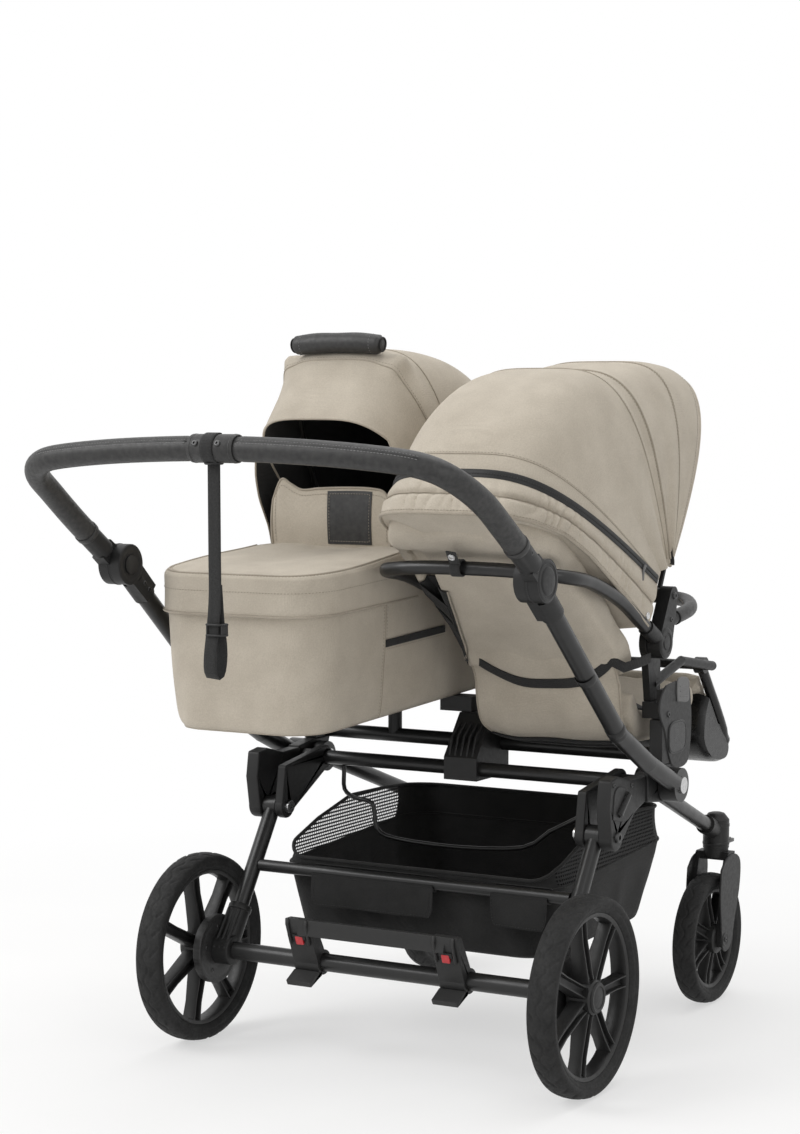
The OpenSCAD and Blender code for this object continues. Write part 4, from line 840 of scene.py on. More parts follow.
class Hood:
    """A canopy of arched rings about a pivot, with a table of (angle, reach) from edge to edge."""

    def __init__(self, x, pivot, half, table, ripple, count=96, sweep=None):
        self.x, self.pivot, self.half, self.ripple, self.count = x, pivot, half, ripple, count
        self.sweep = sweep
        self.table = smooth(table, 8)
        self.share = np.linspace(-1, 1, count)

    def reach(self, angle):
        order = np.argsort(self.table[:, 0])
        return np.interp(angle, self.table[order, 0], self.table[order, 1])

    def ring(self, angle, lift=0.0, reach=None):
        r = self.reach(angle) if reach is None else reach
        p = arch_path(self.half, r, self.count)
        p = p + away_from_middle(p) * (self.ripple(angle, self.share, p[:, 0]) + lift)[:, None]
        a = math.radians(angle)
        back = self.sweep(angle, p[:, 1] / r) if self.sweep else 0.0
        return np.stack([self.x + p[:, 0], self.pivot[0] + p[:, 1] * math.cos(a) - back,
                         self.pivot[1] + p[:, 1] * math.sin(a)], 1)

    def outward(self, angle):
        step = 0.5
        along = self.ring(angle + step) - self.ring(angle - step)
        n = unit(np.cross(directions(self.ring(angle)), along))
        middle = np.array([self.x, *self.pivot])
        return n * np.sign(np.sum(n * (self.ring(angle) - middle), 1))[:, None]

    def rows(self, angles, lift=0.0):
        return np.array([self.ring(a, lift) for a in angles])

    def edge(self, piece, angle, r, look, lift=0.0, trim=0):
        """A cord sewn along a ring."""
        a = math.radians(angle)
        path = self.ring(angle, lift)
        piece.tube(path[trim:len(path) - trim], r, 8, (0, -math.sin(a), math.cos(a)), look)

    def seam(self, piece, angle, r, rows, trim=2):
        """Piping along a ring with a row of stitches on each side."""
        inside = slice(trim, -trim)
        self.edge(piece, angle, r, PIPING, 0.3, trim)
        for shift in rows:
            turn = math.degrees(shift / max(self.reach(angle), 1))
            piece.stitches(self.ring(angle + turn, 0.2)[inside], self.outward(angle + turn)[inside],
                           look=THREAD)


def from_pivot(x, pivot, angle, reach):
    """The point of one X plane at an angle in degrees and a reach from a hood's pivot."""
    a = math.radians(angle)
    return np.array([x, pivot[0] + reach * math.cos(a), pivot[1] + reach * math.sin(a)])


HOOD_CLOTH = 2.6
tub_low, tub_high = node_box("cot_tub")
COT_X = (tub_low[0] + tub_high[0]) / 2
COT_PIVOT = (350, 804)
COT_R = 378
COT_BOW = 119
COT_HALF = 149


def cot_ripple(angle, share, x):
    """Folds at the sides behind the bow, and an ear of cloth beside each end of the carry handle."""
    side = ease(np.abs(share), 0.35, 0.85)
    folds = 2.0 * np.sin(np.radians(angle * 7 + 40 * share)) * side * (1 - ease(angle, 95, 112))
    ear = 17 * np.exp(-((np.abs(x) - 100) / 11) ** 2) * math.exp(-(((angle - 118) / 4.0) ** 2))
    slack = -2.0 * math.sin(math.pi * np.clip((angle - 119) / 22, 0, 1)) * (1 - share**2)
    return folds + ear + slack


cot_hood = Hood(COT_X, COT_PIVOT, COT_HALF, np.array([
    [-2, 0.614], [30, 0.75], [62, 0.82], [92, 0.875], [110, 0.945], [119, 1], [130, 0.955], [141, 0.934],
]) * [1, COT_R], cot_ripple, 128)
canopy = Piece("cot_canopy", "beige_fabric", "black_fabric", "beige_piping", "thread")
canopy_angles = np.concatenate([np.linspace(-2, 104, 50), np.linspace(105, 128, 40),
                                np.linspace(129, 141, 12)])
canopy_rows = cot_hood.rows(canopy_angles)
canopy.shell(canopy_rows[:, ::-1], HOOD_CLOTH, CLOTH, LINING)
cot_hood.seam(canopy, COT_BOW + 3, 1.2, (-5,))
cot_hood.edge(canopy, 110, 1.2, PIPING, 0.3)
cot_hood.seam(canopy, 62, 1.2, (-4, 4))
cot_hood.edge(canopy, 140.8, 2.2, CLOTH, -1)
cot_hood.edge(canopy, -1.8, 2.6, CLOTH, -1)
wing_z = np.linspace(992, 790, 18)
wing_back = np.interp(wing_z, [790, 847, 885, 924, 953, 992], [192, 175, 152, 133, 120, 116])
wing_front = COT_PIVOT[0] - (wing_z - COT_PIVOT[1]) / math.tan(math.radians(39)) + 14
wing_half = np.interp(wing_z, [790, 850, 898, 930, 961, 992], [147, 148.4, 147, 143, 135.5, 121])
for s in (-1, 1):
    wing = []
    for z, back, front, half in zip(wing_z, wing_back, wing_front, wing_half):
        u = np.linspace(0, 1, 14)
        bulge = 3 * np.sin(math.pi * u) + 1.5 * np.sin(z / 23 + 5 * u)
        x = COT_X + s * (half + bulge * 0.5)
        wing.append(np.stack([x, back + (front - back) * u, np.full_like(u, z)], 1))
    wing = np.array(wing)
    canopy.shell(wing if s > 0 else wing[:, ::-1], 1.8, CLOTH, LINING)
    canopy.tube(wing[:, 0], 1.6, 8, ACROSS, PIPING)
cot_canopy = canopy.make(None, ["cot_hood"], 50)
cot_front = np.array([COT_X, COT_PIVOT[0] + 232, 796])
cot_crown = from_pivot(COT_X, COT_PIVOT, COT_BOW, COT_R)
blend(cot_canopy, cot_front, cot_crown)

CARRY_L = 170
CARRY_R = 16.5
carry = Piece("carry_handle", "leatherette", "grey_thread", "black_fabric")
carry_up = unit((0, math.cos(math.radians(COT_BOW)), math.sin(math.radians(COT_BOW))))
back_out = np.array([0, -carry_up[2], carry_up[1]])
u = np.linspace(-1, 1, 41)[:, None]
carry_line = (np.array([COT_X, *COT_PIVOT]) + ACROSS * u * (CARRY_L / 2 - 7)
              + carry_up * (COT_R + CARRY_R + 0.5 - 4.0 * u**2))
dent = 1 - 0.035 * np.cos(6 * u[:, 0]) - 0.03 * u[:, 0] ** 2
carry.tube(carry_line, CARRY_R * dent, 28, carry_up)
seam_lean = unit(back_out * 0.5 - carry_up)
carry.tube(carry_line[1:-1] + seam_lean * CARRY_R * 0.97, 0.8, 6, carry_up)
for end in (0, -1):
    way = directions(carry_line)[end] * (-1 if end == 0 else 1)
    carry.turned(carry_line[end] + way * 6.3, way, [(0, 12.5), (1.2, 11.5), (0.8, 9.5), (-1.5, 8.5),
                                                    (-2, 0.05)], 28, 2)
    turn = np.radians(np.linspace(0, 350, 60))[:, None]
    cuff_out = np.cos(turn) * carry_up + np.sin(turn) * back_out
    cuff = carry_line[3 if end == 0 else -4]
    carry.stitches(cuff + cuff_out * CARRY_R * 0.955, cuff_out, 5, 3.2, 0.5, 1)
carry.make("cot_hood_frame", ["cot_carry_grip"], 50)

BACK_X = node_box("back_cover")[:, 0]
SEAT_X = BACK_X.mean()
HOOD_PIVOT = (355, 742)
SEAT_R = 412
SEAT_HALF = 170
HOOD_FRONT = 61
HOOD_BACK = 154
HOOD_BACK_R = 475


def seat_ripple(angle, share, x):
    """A rolled front edge, ridges at the two bows and soft folds that run down to the hinges."""
    side = ease(np.abs(share), 0.3, 0.8)
    ridge = 3.0 * math.exp(-((angle - 104) / 2.2) ** 2) + 2.5 * math.exp(-((angle - 112) / 2.5) ** 2)
    valley = -5.0 * math.exp(-((angle - 92) / 5.0) ** 2) - 3.0 * math.exp(-((angle - 108) / 1.8) ** 2)
    low = ease(np.abs(share), 0.55, 0.95)
    wave = np.sin(np.radians(angle * 9 - 50 * share))
    crease = np.abs(wave) ** 0.7
    folds = (3.0 * wave * side + 5.0 * (crease - 0.7) * low) * (1 - ease(angle, 135, 150))
    roll = 3.0 * math.exp(-((angle - 66) / 3.5) ** 2)
    return ridge + valley * (0.4 + 0.6 * side) + folds + roll * np.ones_like(share)


SWEEP_BACK = 46


def seat_sweep(angle, share):
    """How far the sides fall back towards the hinges, most at the front edge."""
    return SWEEP_BACK * (1 - ease(angle, HOOD_FRONT, 104)) * (1 - np.clip(share, 0, 1)) ** 2


seat_hood = Hood(SEAT_X, HOOD_PIVOT, SEAT_HALF, np.array([
    [HOOD_FRONT, 1], [72, 0.965], [84, 0.915], [101, 0.888], [119, 0.99], [140, 1.097], [HOOD_BACK, 1.153],
]) * [1, SEAT_R], seat_ripple, 128, seat_sweep)
shade_piece = Piece("seat_canopy", "beige_fabric", "black_fabric", "beige_piping", "thread")
seat_rows = seat_hood.rows(np.linspace(HOOD_FRONT, HOOD_BACK, 110))
shade_piece.shell(seat_rows[:, ::-1], HOOD_CLOTH, CLOTH, LINING)
for angle, r, rows in ((104, 2.0, (-5, 5)), (112, 1.2, (-4,)), (80, 1.2, (-4, 4)), (150, 0.8, (-3,))):
    seat_hood.seam(shade_piece, angle, r, rows)
seat_hood.edge(shade_piece, HOOD_FRONT + 0.2, 3.0, CLOTH, -1)
hem_at = HOOD_FRONT + 3
shade_piece.stitches(seat_hood.ring(hem_at, 0.2)[2:-2], seat_hood.outward(hem_at)[2:-2], look=THREAD)
seat_canopy = shade_piece.make(None, ["seat_hood"], 50)
hood_from = from_pivot(SEAT_X, HOOD_PIVOT, HOOD_BACK, HOOD_BACK_R)
hood_to = from_pivot(SEAT_X, HOOD_PIVOT, HOOD_FRONT, SEAT_R)
blend(seat_canopy, hood_from, hood_to)


ZIP_ANGLE = math.radians(154.4)
ZIP_REACH = 476
BAND_GROW = 20
BAND_COUNT = 400
zip_along = np.array([0, math.cos(ZIP_ANGLE), math.sin(ZIP_ANGLE)])
zip_down = np.array([0, -math.sin(ZIP_ANGLE), math.cos(ZIP_ANGLE)])


def gathers(t):
    """Gathers of the band under the zip, flat at both seams and at the elastic along its middle."""
    share = np.linspace(-1, 1, BAND_COUNT)
    loose = math.sin(math.pi * np.clip((t - 0.12) / 0.88, 0, 1)) ** 0.6
    pulled = 1 - 0.7 * math.exp(-((t - 0.5) / 0.06) ** 2)
    wave = np.abs(np.sin(share * 55 + 2.4 * np.sin(share * 17) + 0.9 * np.sin(share * 43 + 3 * t)))
    uneven = 0.6 + 0.4 * np.sin(share * 9 + 1.3) * np.sin(share * 4.1)
    return loose * pulled * (1.0 + 8.0 * uneven * wave**0.6) - 2.0 * math.exp(-((t - 0.5) / 0.085) ** 2)


def band_ring(t, lift=0.0):
    """The band at a share of its width under the zip, with the outward directions."""
    reach = ZIP_REACH + BAND_GROW * t
    p = arch_path(SEAT_HALF, reach, BAND_COUNT)
    out = away_from_middle(p)
    width = np.interp(p[:, 1] / reach, [0.13, 0.4, 0.6, 0.75, 0.9, 1], [80, 66, 55, 52, 62, 74])
    p = p + out * (gathers(t) + lift)[:, None]
    middle = np.array([SEAT_X, *HOOD_PIVOT])
    ring = middle + ACROSS * p[:, :1] + zip_along * p[:, 1:] + zip_down * (width * t)[:, None]
    return ring, ACROSS * out[:, :1] + zip_along * out[:, 1:]


band = Piece("gathered_band", "beige_fabric")
band_rows = np.array([band_ring(t)[0] for t in np.linspace(0, 1, 30)])
band.shell(band_rows[:, ::-1], 2.0)
gathered_band = band.make("seat_back", (), 55)

facing = Piece("band_trim", "beige_fabric", "black_plastic", "beige_piping", "thread", "grey_plastic",
               "steel")
hem_ring, hem_out = band_ring(1.0, 0.6)
facing.tube(hem_ring[1:-1], 2.8, 8, zip_down, PIPING)
turned_in = [hem_ring - hem_out * (1 + d) + zip_down * d * 0.12 for d in (0, 12, 28, 48, 66)]
facing.shell(np.array(turned_in)[:, ::-1], 1.6)
sewn_ring, sewn_out = band_ring(0.93, 0.4)
facing.stitches(sewn_ring[3:-3], sewn_out[3:-3], look=THREAD)
facing.tube(band_ring(0.5, 2.2)[0][2:-2], 0.9, 8, zip_down, PIPING)
zip_ring, zip_out = band_ring(0.0, 1.2)
facing.strap(zip_ring[2:-2], zip_down, 14, 1.6, 1)
teeth = even(zip_ring[4:-4], 230)
teeth_out = even(zip_out[4:-4], 230)
for p, n in zip(teeth, teeth_out):
    facing.turned(p + n * 0.8, n, [(0, 1.5), (0.9, 1.3), (1.0, 0.05)], 6, 1)
pull = teeth[12] + teeth_out[12] * 2
facing.tube(np.array([pull, pull + [0, -6, -8], pull + [0, -9, -22]]), [3, 2.4, 2.6], 8, ACROSS, 4)
for end in (6, -7):
    stud_ring, stud_out = band_ring(0.86, 0.6)
    facing.snap(stud_ring[end], stud_out[end], 6, 5)
facing.make("seat_back", (), 55)


# Padded pieces

def drawn(profile, x, share):
    """A side profile at one X, drawn in towards its middle."""
    middle = profile.mean(0)
    return at_x(x, middle + (profile - middle) * share)


def pad_rows(profile, x0, x1, ends, channels, depth, shrink, steps=36):
    """Side profiles from one end of a pad to the other, full in the middle and drawn in at its channels."""
    rows = []
    for u in np.linspace(0, 1, steps + 1):
        crown = 1 - ends * abs(2 * u - 1) ** 5
        groove = depth * abs(math.cos(math.pi * channels * u)) ** 16 if 0 < u < 1 else 0
        rows.append(drawn(profile, x0 + (x1 - x0) * u, (crown - groove) * shrink))
    return rows


PUFF_FRAMES = 20


def puff(o, cap, voxel=5.0, pressure=4.0):
    """Swells a pad as cloth under pressure, with each point's way capped, and keeps the result."""
    bpy.context.view_layer.objects.active = o
    remesh = o.modifiers.new("remesh", "REMESH")
    remesh.mode = "VOXEL"
    remesh.voxel_size = voxel * MM
    bpy.ops.object.modifier_apply(modifier=remesh.name)
    start = np.array([v.co for v in o.data.vertices])
    cloth = o.modifiers.new("cloth", "CLOTH")
    cloth.settings.use_pressure = True
    cloth.settings.uniform_pressure_force = pressure
    cloth.settings.effector_weights.gravity = 0
    cloth.settings.quality = 4
    cloth.point_cache.frame_start = 1
    cloth.point_cache.frame_end = PUFF_FRAMES
    for f in range(1, PUFF_FRAMES + 1):
        scene.frame_set(f)
    moved = np.array([v.co for v in o.evaluated_get(bpy.context.evaluated_depsgraph_get()).data.vertices])
    o.modifiers.remove(cloth)
    scene.frame_set(1)
    way = moved - start
    far = np.linalg.norm(way, axis=1, keepdims=True)
    way *= np.minimum(1, cap * MM / np.maximum(far, 1e-9))
    o.data.vertices.foreach_set("co", (start + way).ravel())
    o.data.update()
    return o


def pad(name, body, node, rows, looks, cap, voxel=5.0, wrinkle=None):
    """A cushion: its rows as a closed form, puffed, then creased."""
    piece = Piece(name, looks[0])
    piece.grid(rows, ring=True, caps=True)
    o = bpy.data.objects.new(name, piece.mesh())
    scene.collection.objects.link(o)
    puff(o, cap, voxel)
    if wrinkle:
        co = np.array([v.co for v in o.data.vertices])
        normal = np.array([v.normal for v in o.data.vertices])
        co += normal * wrinkle(unplace(co), normal)[:, None] * MM
        o.data.vertices.foreach_set("co", co.ravel())
        o.data.update()
    o.data.materials.clear()
    dress(o, looks, body, [node], 60, 1)
    return o


RECLINE = np.array([325, 668.0])
seat_profile = smooth([[250, 562], [283, 516], [345, 500], [440, 499], [515, 514], [560, 546], [562, 574],
                       [548, 586], [505, 566], [440, 548], [360, 544], [312, 560], [286, 594], [262, 596],
                       [250, 562]], 4)[:-1]
CUSHION_X = node_box("seat_cushion")[:, 0]


def seat_creases(p, normal):
    """Creases in the rear of the seat pad."""
    low = ease(p[:, 1], 360, 262)
    level = 1.6 * np.sin(p[:, 2] / 7.0 + 0.02 * p[:, 0])
    slanted = 1.2 * np.sin(p[:, 0] / 13.0 + p[:, 2] / 19.0)
    return low * (level + slanted)


seat_pad_rows = pad_rows(seat_profile, CUSHION_X[0] + 4, CUSHION_X[1] - 4, 0.12, 3, 0.035, 0.955)
pad("seat_pad", "seat_unit", "seat_cushion", seat_pad_rows, ("beige_fabric",), 5, 6.0, seat_creases)

back_profile = smooth(np.array([[-420, 234], [-414, 208], [-386, 180], [-334, 152], [-225, 68], [-125, -6],
                                [-75, -63], [-48, -54], [-37, -32], [-93, 32], [-188, 104], [-303, 190],
                                [-385, 224], [-410, 244], [-428, 234]]) + RECLINE, 4)[:-1]

PANEL_EDGE = np.array([[-60, 88], [-30, 83], [190, 34], [230, 20]])
PANEL_SET_IN = 24


def back_creases(p, normal):
    """Slack folds of the rear panel, strongest low down, and the hollow beside its left edge."""
    low = ease(p[:, 1], -40, 200)
    side = ease(np.abs(p[:, 0] - SEAT_X), 40, 140)
    along = 1.8 * np.sin(p[:, 0] / 17.0 + p[:, 1] / 41.0) * (0.3 + low)
    edge = np.interp(p[:, 1], PANEL_EDGE[:, 0], PANEL_EDGE[:, 1])
    hollow = ease(edge - p[:, 0], -4, 8) * ease(-normal[:, 2], 0.1, 0.5) * ease(p[:, 1], -34, 6)
    return along + 1.5 * np.sin(p[:, 2] / 11.0 + 0.03 * p[:, 0]) * side * low - PANEL_SET_IN * hollow


def under_band(rows):
    """Draws the pad in so that its top stays inside the gathered band."""
    rows = np.array(rows)
    square = np.clip(((rows[..., 0] - SEAT_X) / SEAT_HALF) ** 2, 0, 0.99)
    most = (ZIP_REACH + BAND_GROW) * np.sqrt(1 - square**2) ** 0.6 - 16
    way = np.array([0, math.cos(math.radians(160)), math.sin(math.radians(160))])
    past = (rows - np.array([0, *HOOD_PIVOT])) @ way - most
    return rows - np.maximum(past, 0)[..., None] * way


back_rows = under_band(pad_rows(back_profile, BACK_X[0] + 4, BACK_X[1] - 4, 0.07, 3, 0.018, 0.97))
back_pad = pad("back_pad", "seat_back", "back_cover", back_rows, ("beige_fabric",), 5, 6.0, back_creases)

RAIL = np.array([580, 606.0])
REST = np.array([0.64, -0.768])
REST_UP = np.array([0.768, 0.64])
CALF_T = 22
CALF = ((26, -0.5), (60, -0.5), (100, -0.5), (122, -0.4), (128, 0), (122, 0.4), (100, 0.55), (60, 0.55),
        (26, 0.5), (20, 0), (26, -0.5))
calf_profile = smooth([RAIL + REST * d + REST_UP * h * CALF_T for d, h in CALF], 4)[:-1]
REST_X = (39.5, 288.5)
calf_rows = pad_rows(calf_profile, REST_X[0] + 12, REST_X[1] - 12, 0.14, 3, 0.05, 0.93)
pad("calf_rest_pad", "leg_rest", "calf_pad", calf_rows, ("beige_fabric", "beige_piping"), 4, 4.0)

board = Piece("foot_board", "gloss_plastic", "black_plastic")
BOARD = ((60, -12), (100, -12.5), (131, -12), (139, -1.5), (168, -1), (196, -1.5), (208, -12), (206, -30),
         (178, -60), (140, -78), (102, -76), (72, -42), (60, -12))
board_profile = smooth([RAIL + REST * d + REST_UP * h for d, h in BOARD], 4)[:-1]
board_rows = []
for u in np.linspace(-1, 1, 29):
    x = (REST_X[0] + REST_X[1]) / 2 + u * ((REST_X[1] - REST_X[0]) / 2 + 3)
    board_rows.append(drawn(board_profile, x, 1.01 - 0.1 * abs(u) ** 24))
board.grid(board_rows, ring=True, caps=True)
board.make("leg_rest", (), 45)

COT_RISE = 0.047
RING = 240


def plan_ring(x, half, y0, y1, r0, r1, z, rise, steps=10):
    """Rounded rectangle at a height, with a foot and a head radius, rising by a share of its length."""
    out = []
    for cx, cy, r, start in ((half - r0, y0 + r0, r0, -90), (half - r1, y1 - r1, r1, 0),
                             (-half + r1, y1 - r1, r1, 90), (-half + r0, y0 + r0, r0, 180)):
        for i in range(steps + 1):
            a = math.radians(start + 90 * i / steps)
            y = cy + r * math.sin(a)
            out.append([x + cx + r * math.cos(a), y, z + rise * (y - y0)])
    return even(np.array(out + out[:1]), RING + 1)[:-1]


def tub_ring(half, y0, y1, r, z):
    """One level of the carrycot's tub."""
    return plan_ring(COT_X, half, y0, y1, r, r, z, COT_RISE)


COT_FOOT, COT_HEAD = tub_low[1], tub_high[1]
COT_BOTTOM = tub_low[2]
TUB_HALF = (tub_high[0] - tub_low[0]) / 2
mattress_rows = []
for half, foot, head, corner, z in ((128, 26, 36, 54, 551), (135, 20, 29, 60, 559), (135, 20, 29, 60, 573),
                                    (127, 28, 37, 54, 582), (96, 60, 68, 44, 585)):
    mattress_rows.append(tub_ring(half, COT_FOOT + foot, COT_HEAD - head, corner, z))
pad("mattress", "carrycot", "cot_mattress", mattress_rows, ("white_fabric",), 3, 7.0)


# Carrycot

def tub_wrinkles(p, low):
    """Small creases where the cover is pulled under the tub, most at the foot corners."""
    corner = np.exp(-(((np.abs(p[:, 0] - COT_X) - 130) / 40) ** 2)) * (p[:, 1] < -60)
    return low * (0.7 * np.sin(p[:, 0] / 9 + p[:, 2] / 13) + 2.0 * corner * np.sin(p[:, 0] / 6 + p[:, 1] / 7))


tub_outside = []
for z, half, foot, head, corner in ((0, 130, 23, 27, 58), (2.5, 135, 18, 22, 62), (8, 139.5, 14, 18.5, 66),
                                    (18, 142, 11.5, 17, 67), (40, 145, 8.8, 14, 68.5), (76, 148, 5.5, 10, 70),
                                    (110, 150.2, 4, 8, 70), (150, 151.8, 2.5, 5, 70), (190, 153.2, 1, 2, 70),
                                    (216, 154, 0, 0, 70)):
    tub_outside.append(tub_ring(half, COT_FOOT + foot, COT_HEAD - head, corner, COT_BOTTOM + z))
tub_outside = smooth(tub_outside, 4)
for i, row in enumerate(tub_outside):
    middle = row.mean(0)
    away = unit((row - middle) * [1, 1, 0])
    low = 1 - ease(i / (len(tub_outside) - 1), 0.1, 0.6)
    tub_outside[i] = row - away * (0.4 + np.abs(tub_wrinkles(row, low)))[:, None]
tub_inside = [tub_ring(TUB_HALF - 6 - k, COT_FOOT + 6 + k, COT_HEAD - 6 - k * 1.2, 64, COT_BOTTOM + z)
              for z, k in ((216, 0), (150, 2.5), (90, 5), (30, 11), (8, 18))]
tub = Piece("tub_cover", "beige_fabric", "white_fabric", "beige_piping", "thread", "black_fabric")
tub.grid(tub_outside, ring=True)
tub.grid([tub_outside[-1], tub_inside[0]], ring=True)
tub.grid(tub_inside, ring=True, look=1)
floor_ring = tub_ring(60, COT_FOOT + 90, COT_HEAD - 100, 40, COT_BOTTOM + 4)
tub.grid([tub_inside[-1], floor_ring], ring=True, look=1)
tub.add(floor_ring, [list(range(RING))], 1)
under_ring = tub_ring(60, COT_FOOT + 90, COT_HEAD - 100, 40, COT_BOTTOM + 1)
tub.grid([under_ring, tub_outside[0]], ring=True, look=4)
tub.add(under_ring, [list(range(RING))], 4)
SEAM_Y = 50
girth = tub_outside[20]
column = np.argmin(np.abs(girth[:, 1] - SEAM_Y) + 1e3 * (girth[:, 0] < COT_X))
seam_line = tub_outside[4:, column]
tub.tube(seam_line + ACROSS * 0.3, 1.1, 6, ACROSS, PIPING)
for dy in (-5, 5):
    tub.stitches(seam_line + [0.2, dy, 0], ACROSS, look=THREAD)
tub.tube(tub_outside[3], 1.4, 6, UP, PIPING, closed=True)
POCKET = (52, 250)
pocket_columns = [j for j in range(RING) if girth[j, 0] > COT_X and POCKET[0] < girth[j, 1] < POCKET[1]]
pocket_columns.sort(key=lambda j: girth[j, 1])
pocket_rows = []
for t in np.linspace(0, 1, 16):
    z_share = 0.12 + 0.6 * t
    row = tub_outside[int(z_share * (len(tub_outside) - 1)), pocket_columns]
    bulge = 1.2 + 3.0 * math.sin(math.pi * t) * np.sin(np.linspace(0, math.pi, len(row))) ** 0.5
    pocket_rows.append(row + ACROSS * bulge[:, None])
tub.shell(np.array(pocket_rows)[:, ::-1], 1.6)
mouth = pocket_rows[-1]
tub.strap(mouth + [0.8, 0, 2], UP + np.zeros_like(mouth), 12, 2.4, 4)
tub.stitches(mouth + [1.6, 0, -7], ACROSS, look=THREAD)
tub.make("carrycot", ["cot_tub"], 60)

HEM = node_box("cot_apron")[0, 2]
APRON_END = node_box("cot_apron")[1, 1]


def cover_ring(half, y, r, z, rise, end=0.0):
    """One level of the apron, with its straight edge drawn back by end."""
    return plan_ring(COT_X, half, y, APRON_END - end, r, 5, z, rise)


lid_rows = []
for half, y0, r, z, rise, end in ((154.8, -159.8, 70, HEM + 1, 0.047, 2), (157.4, -164.6, 75, HEM, 0.047, 0),
                                  (158, -165, 76, HEM + 4, 0.048, 0), (157.6, -164.6, 76, HEM + 30, 0.055, 0),
                                  (158, -165, 76, HEM + 54, 0.063, 0),
                                  (156.6, -163.6, 75, HEM + 59, 0.075, 0),
                                  (153, -160, 72, HEM + 62, 0.09, 0.5), (140, -146, 68, HEM + 65.5, 0.09, 1),
                                  (118, -125, 61, HEM + 69, 0.09, 1.5), (88, -95, 50, HEM + 73, 0.09, 2.5),
                                  (58, -55, 40, HEM + 75, 0.09, 6), (24, 0, 20, HEM + 76, 0.09, 20)):
    lid_rows.append(cover_ring(half, y0, r, z, rise, end))
lid_rows = smooth(lid_rows, 4)
lid_wave = 1.4 * np.sin(lid_rows[..., 0] / 31 + lid_rows[..., 1] / 47)
lid_rows[..., 2] += lid_wave * ease(lid_rows[..., 2], HEM + 63, HEM + 72)
apron = Piece("apron_cover", "beige_fabric", "black_fabric", "beige_piping", "thread", "leatherette")
apron.shell(lid_rows[:, ::-1], 1.6, CLOTH, LINING, ring=True)
apron.add(lid_rows[-1], [list(range(RING))])


def round_apron(level, lift):
    """A ring of the apron pushed out a little, without its straight front edge."""
    row = lid_rows[level]
    middle = np.array([COT_X, 0, row[:, 2].mean() - 200])
    out = unit((row - middle) * [1, 1, 0.2])
    start = np.argmax(row[:, 1])
    order = np.roll(np.arange(RING), -start)
    keep = [j for j in order if row[j, 1] < APRON_END - 6]
    return (row + out * lift)[keep], out[keep]


for level, r, rows in ((5, 2.2, (8,)), (25, 1.8, (-1, 1))):
    path, out = round_apron(level, 0.4)
    apron.tube(path, r, 8, UP, PIPING)
    for step in rows:
        line, away = round_apron(level + step, 0.2)
        apron.stitches(line, away, look=THREAD)

FLAP_Y = 142
FLAP_X = (-296, -68)
flap_top = smooth(np.array([[-296, 892], [-281, 926], [-262, 918], [-240, 909], [-205, 912], [-150, 914],
                            [-105, 913], [-80, 906], [-68, 878]]), 8)
FLAP_FOOT = 812
FLAP_COUNT = 64
flap_rows = []
for t in np.linspace(0, 1, 22):
    u = np.linspace(*FLAP_X, FLAP_COUNT)
    top = np.interp(u, flap_top[:, 0], flap_top[:, 1])
    z = FLAP_FOOT + (top - FLAP_FOOT) * t
    bow = 4 * math.sin(math.pi * t) + 3.0 * np.sin(u / 26 + 2 * t) * t * (1 - 0.6 * ease(u, -200, -180))
    flap_rows.append(np.stack([u, FLAP_Y - 1 - bow, z], 1))
flap_rows = np.array(flap_rows)
apron.shell(flap_rows[:, ::-1], 3.5)
rim = np.concatenate([flap_rows[:, 0], flap_rows[-1], flap_rows[::-1, -1]])
apron.tube(rim, 2.0, 8, (0, 1, 0), PIPING)
inset = np.concatenate([flap_rows[2:19, 2], flap_rows[19, 2:-2], flap_rows[19:2:-1, -3]]) - [0, 0.4, 0]
apron.stitches(inset, (0, -1, 0), look=THREAD)
PATCH_X = (-188, -104)
patch_columns = [j for j in range(FLAP_COUNT) if PATCH_X[0] < flap_rows[10, j, 0] < PATCH_X[1]]
patch_rows = flap_rows[2:21, patch_columns] - [0, 1.2, 0]
apron.shell(patch_rows[:, ::-1], 1.6, 4)
border = np.concatenate([patch_rows[1:-1, 1], patch_rows[-2, 1:-1], patch_rows[-2:0:-1, -2],
                         patch_rows[1, -2:0:-1]])
apron.stitches(border - [0, 0.2, 0], (0, -1, 0), 5, 3.2, 0.5, 3)
apron_cover = apron.make("carrycot", ["cot_apron"], 55)


# Seat back straps and studs, and a black sheet of painted shade beside the rear panel

back = Surface(back_pad)
trim = Piece("back_straps", "webbing", "black_fabric", "steel", "beige_piping")
UNDER = (0, 0.45, 1)
# Painted shade: a black cloth sheet on the left of the rear panel's edge stands for the dark gap between the
# tube and the panel. Beige piping runs along its edge.
shade_sheet = []
shade_sheet_edge = []
for t in np.linspace(0, 1, 30):
    y = -10 + 202 * t
    edge = np.interp(y, PANEL_EDGE[:, 0], PANEL_EDGE[:, 1])
    line = np.stack([np.linspace(17, edge + 3, 16), np.full(16, y), np.full(16, 600.0)], 1)
    laid, out = back.drop(line, UNDER, 300, 3.5)
    shade_sheet.append(laid)
    shade_sheet_edge.append(laid[-1] + out[-1] * 0.4)
trim.shell(np.array(shade_sheet), 1.0, 1)
trim.tube(np.array(shade_sheet_edge), 1.6, 8, ACROSS, 3)
LOOP_X = 158
TUBE_AT = np.array([-46, 804.0])
trim.strap(round_bar(LOOP_X, TUBE_AT, 12.6, -60, 300, 36), ACROSS, 18, 2.0)
tab = smooth([[LOOP_X, -55, 810], [LOOP_X + 2, -64, 816], [LOOP_X + 5, -74, 823], [LOOP_X + 7, -82, 830]], 5)
trim.strap(tab, ACROSS, 17, 2.4)
trim.snap(tab[10] + [0, -1.6, -1.2], (0, -0.75, -0.66), 6, 2)
trim.make("seat_back", (), 50)

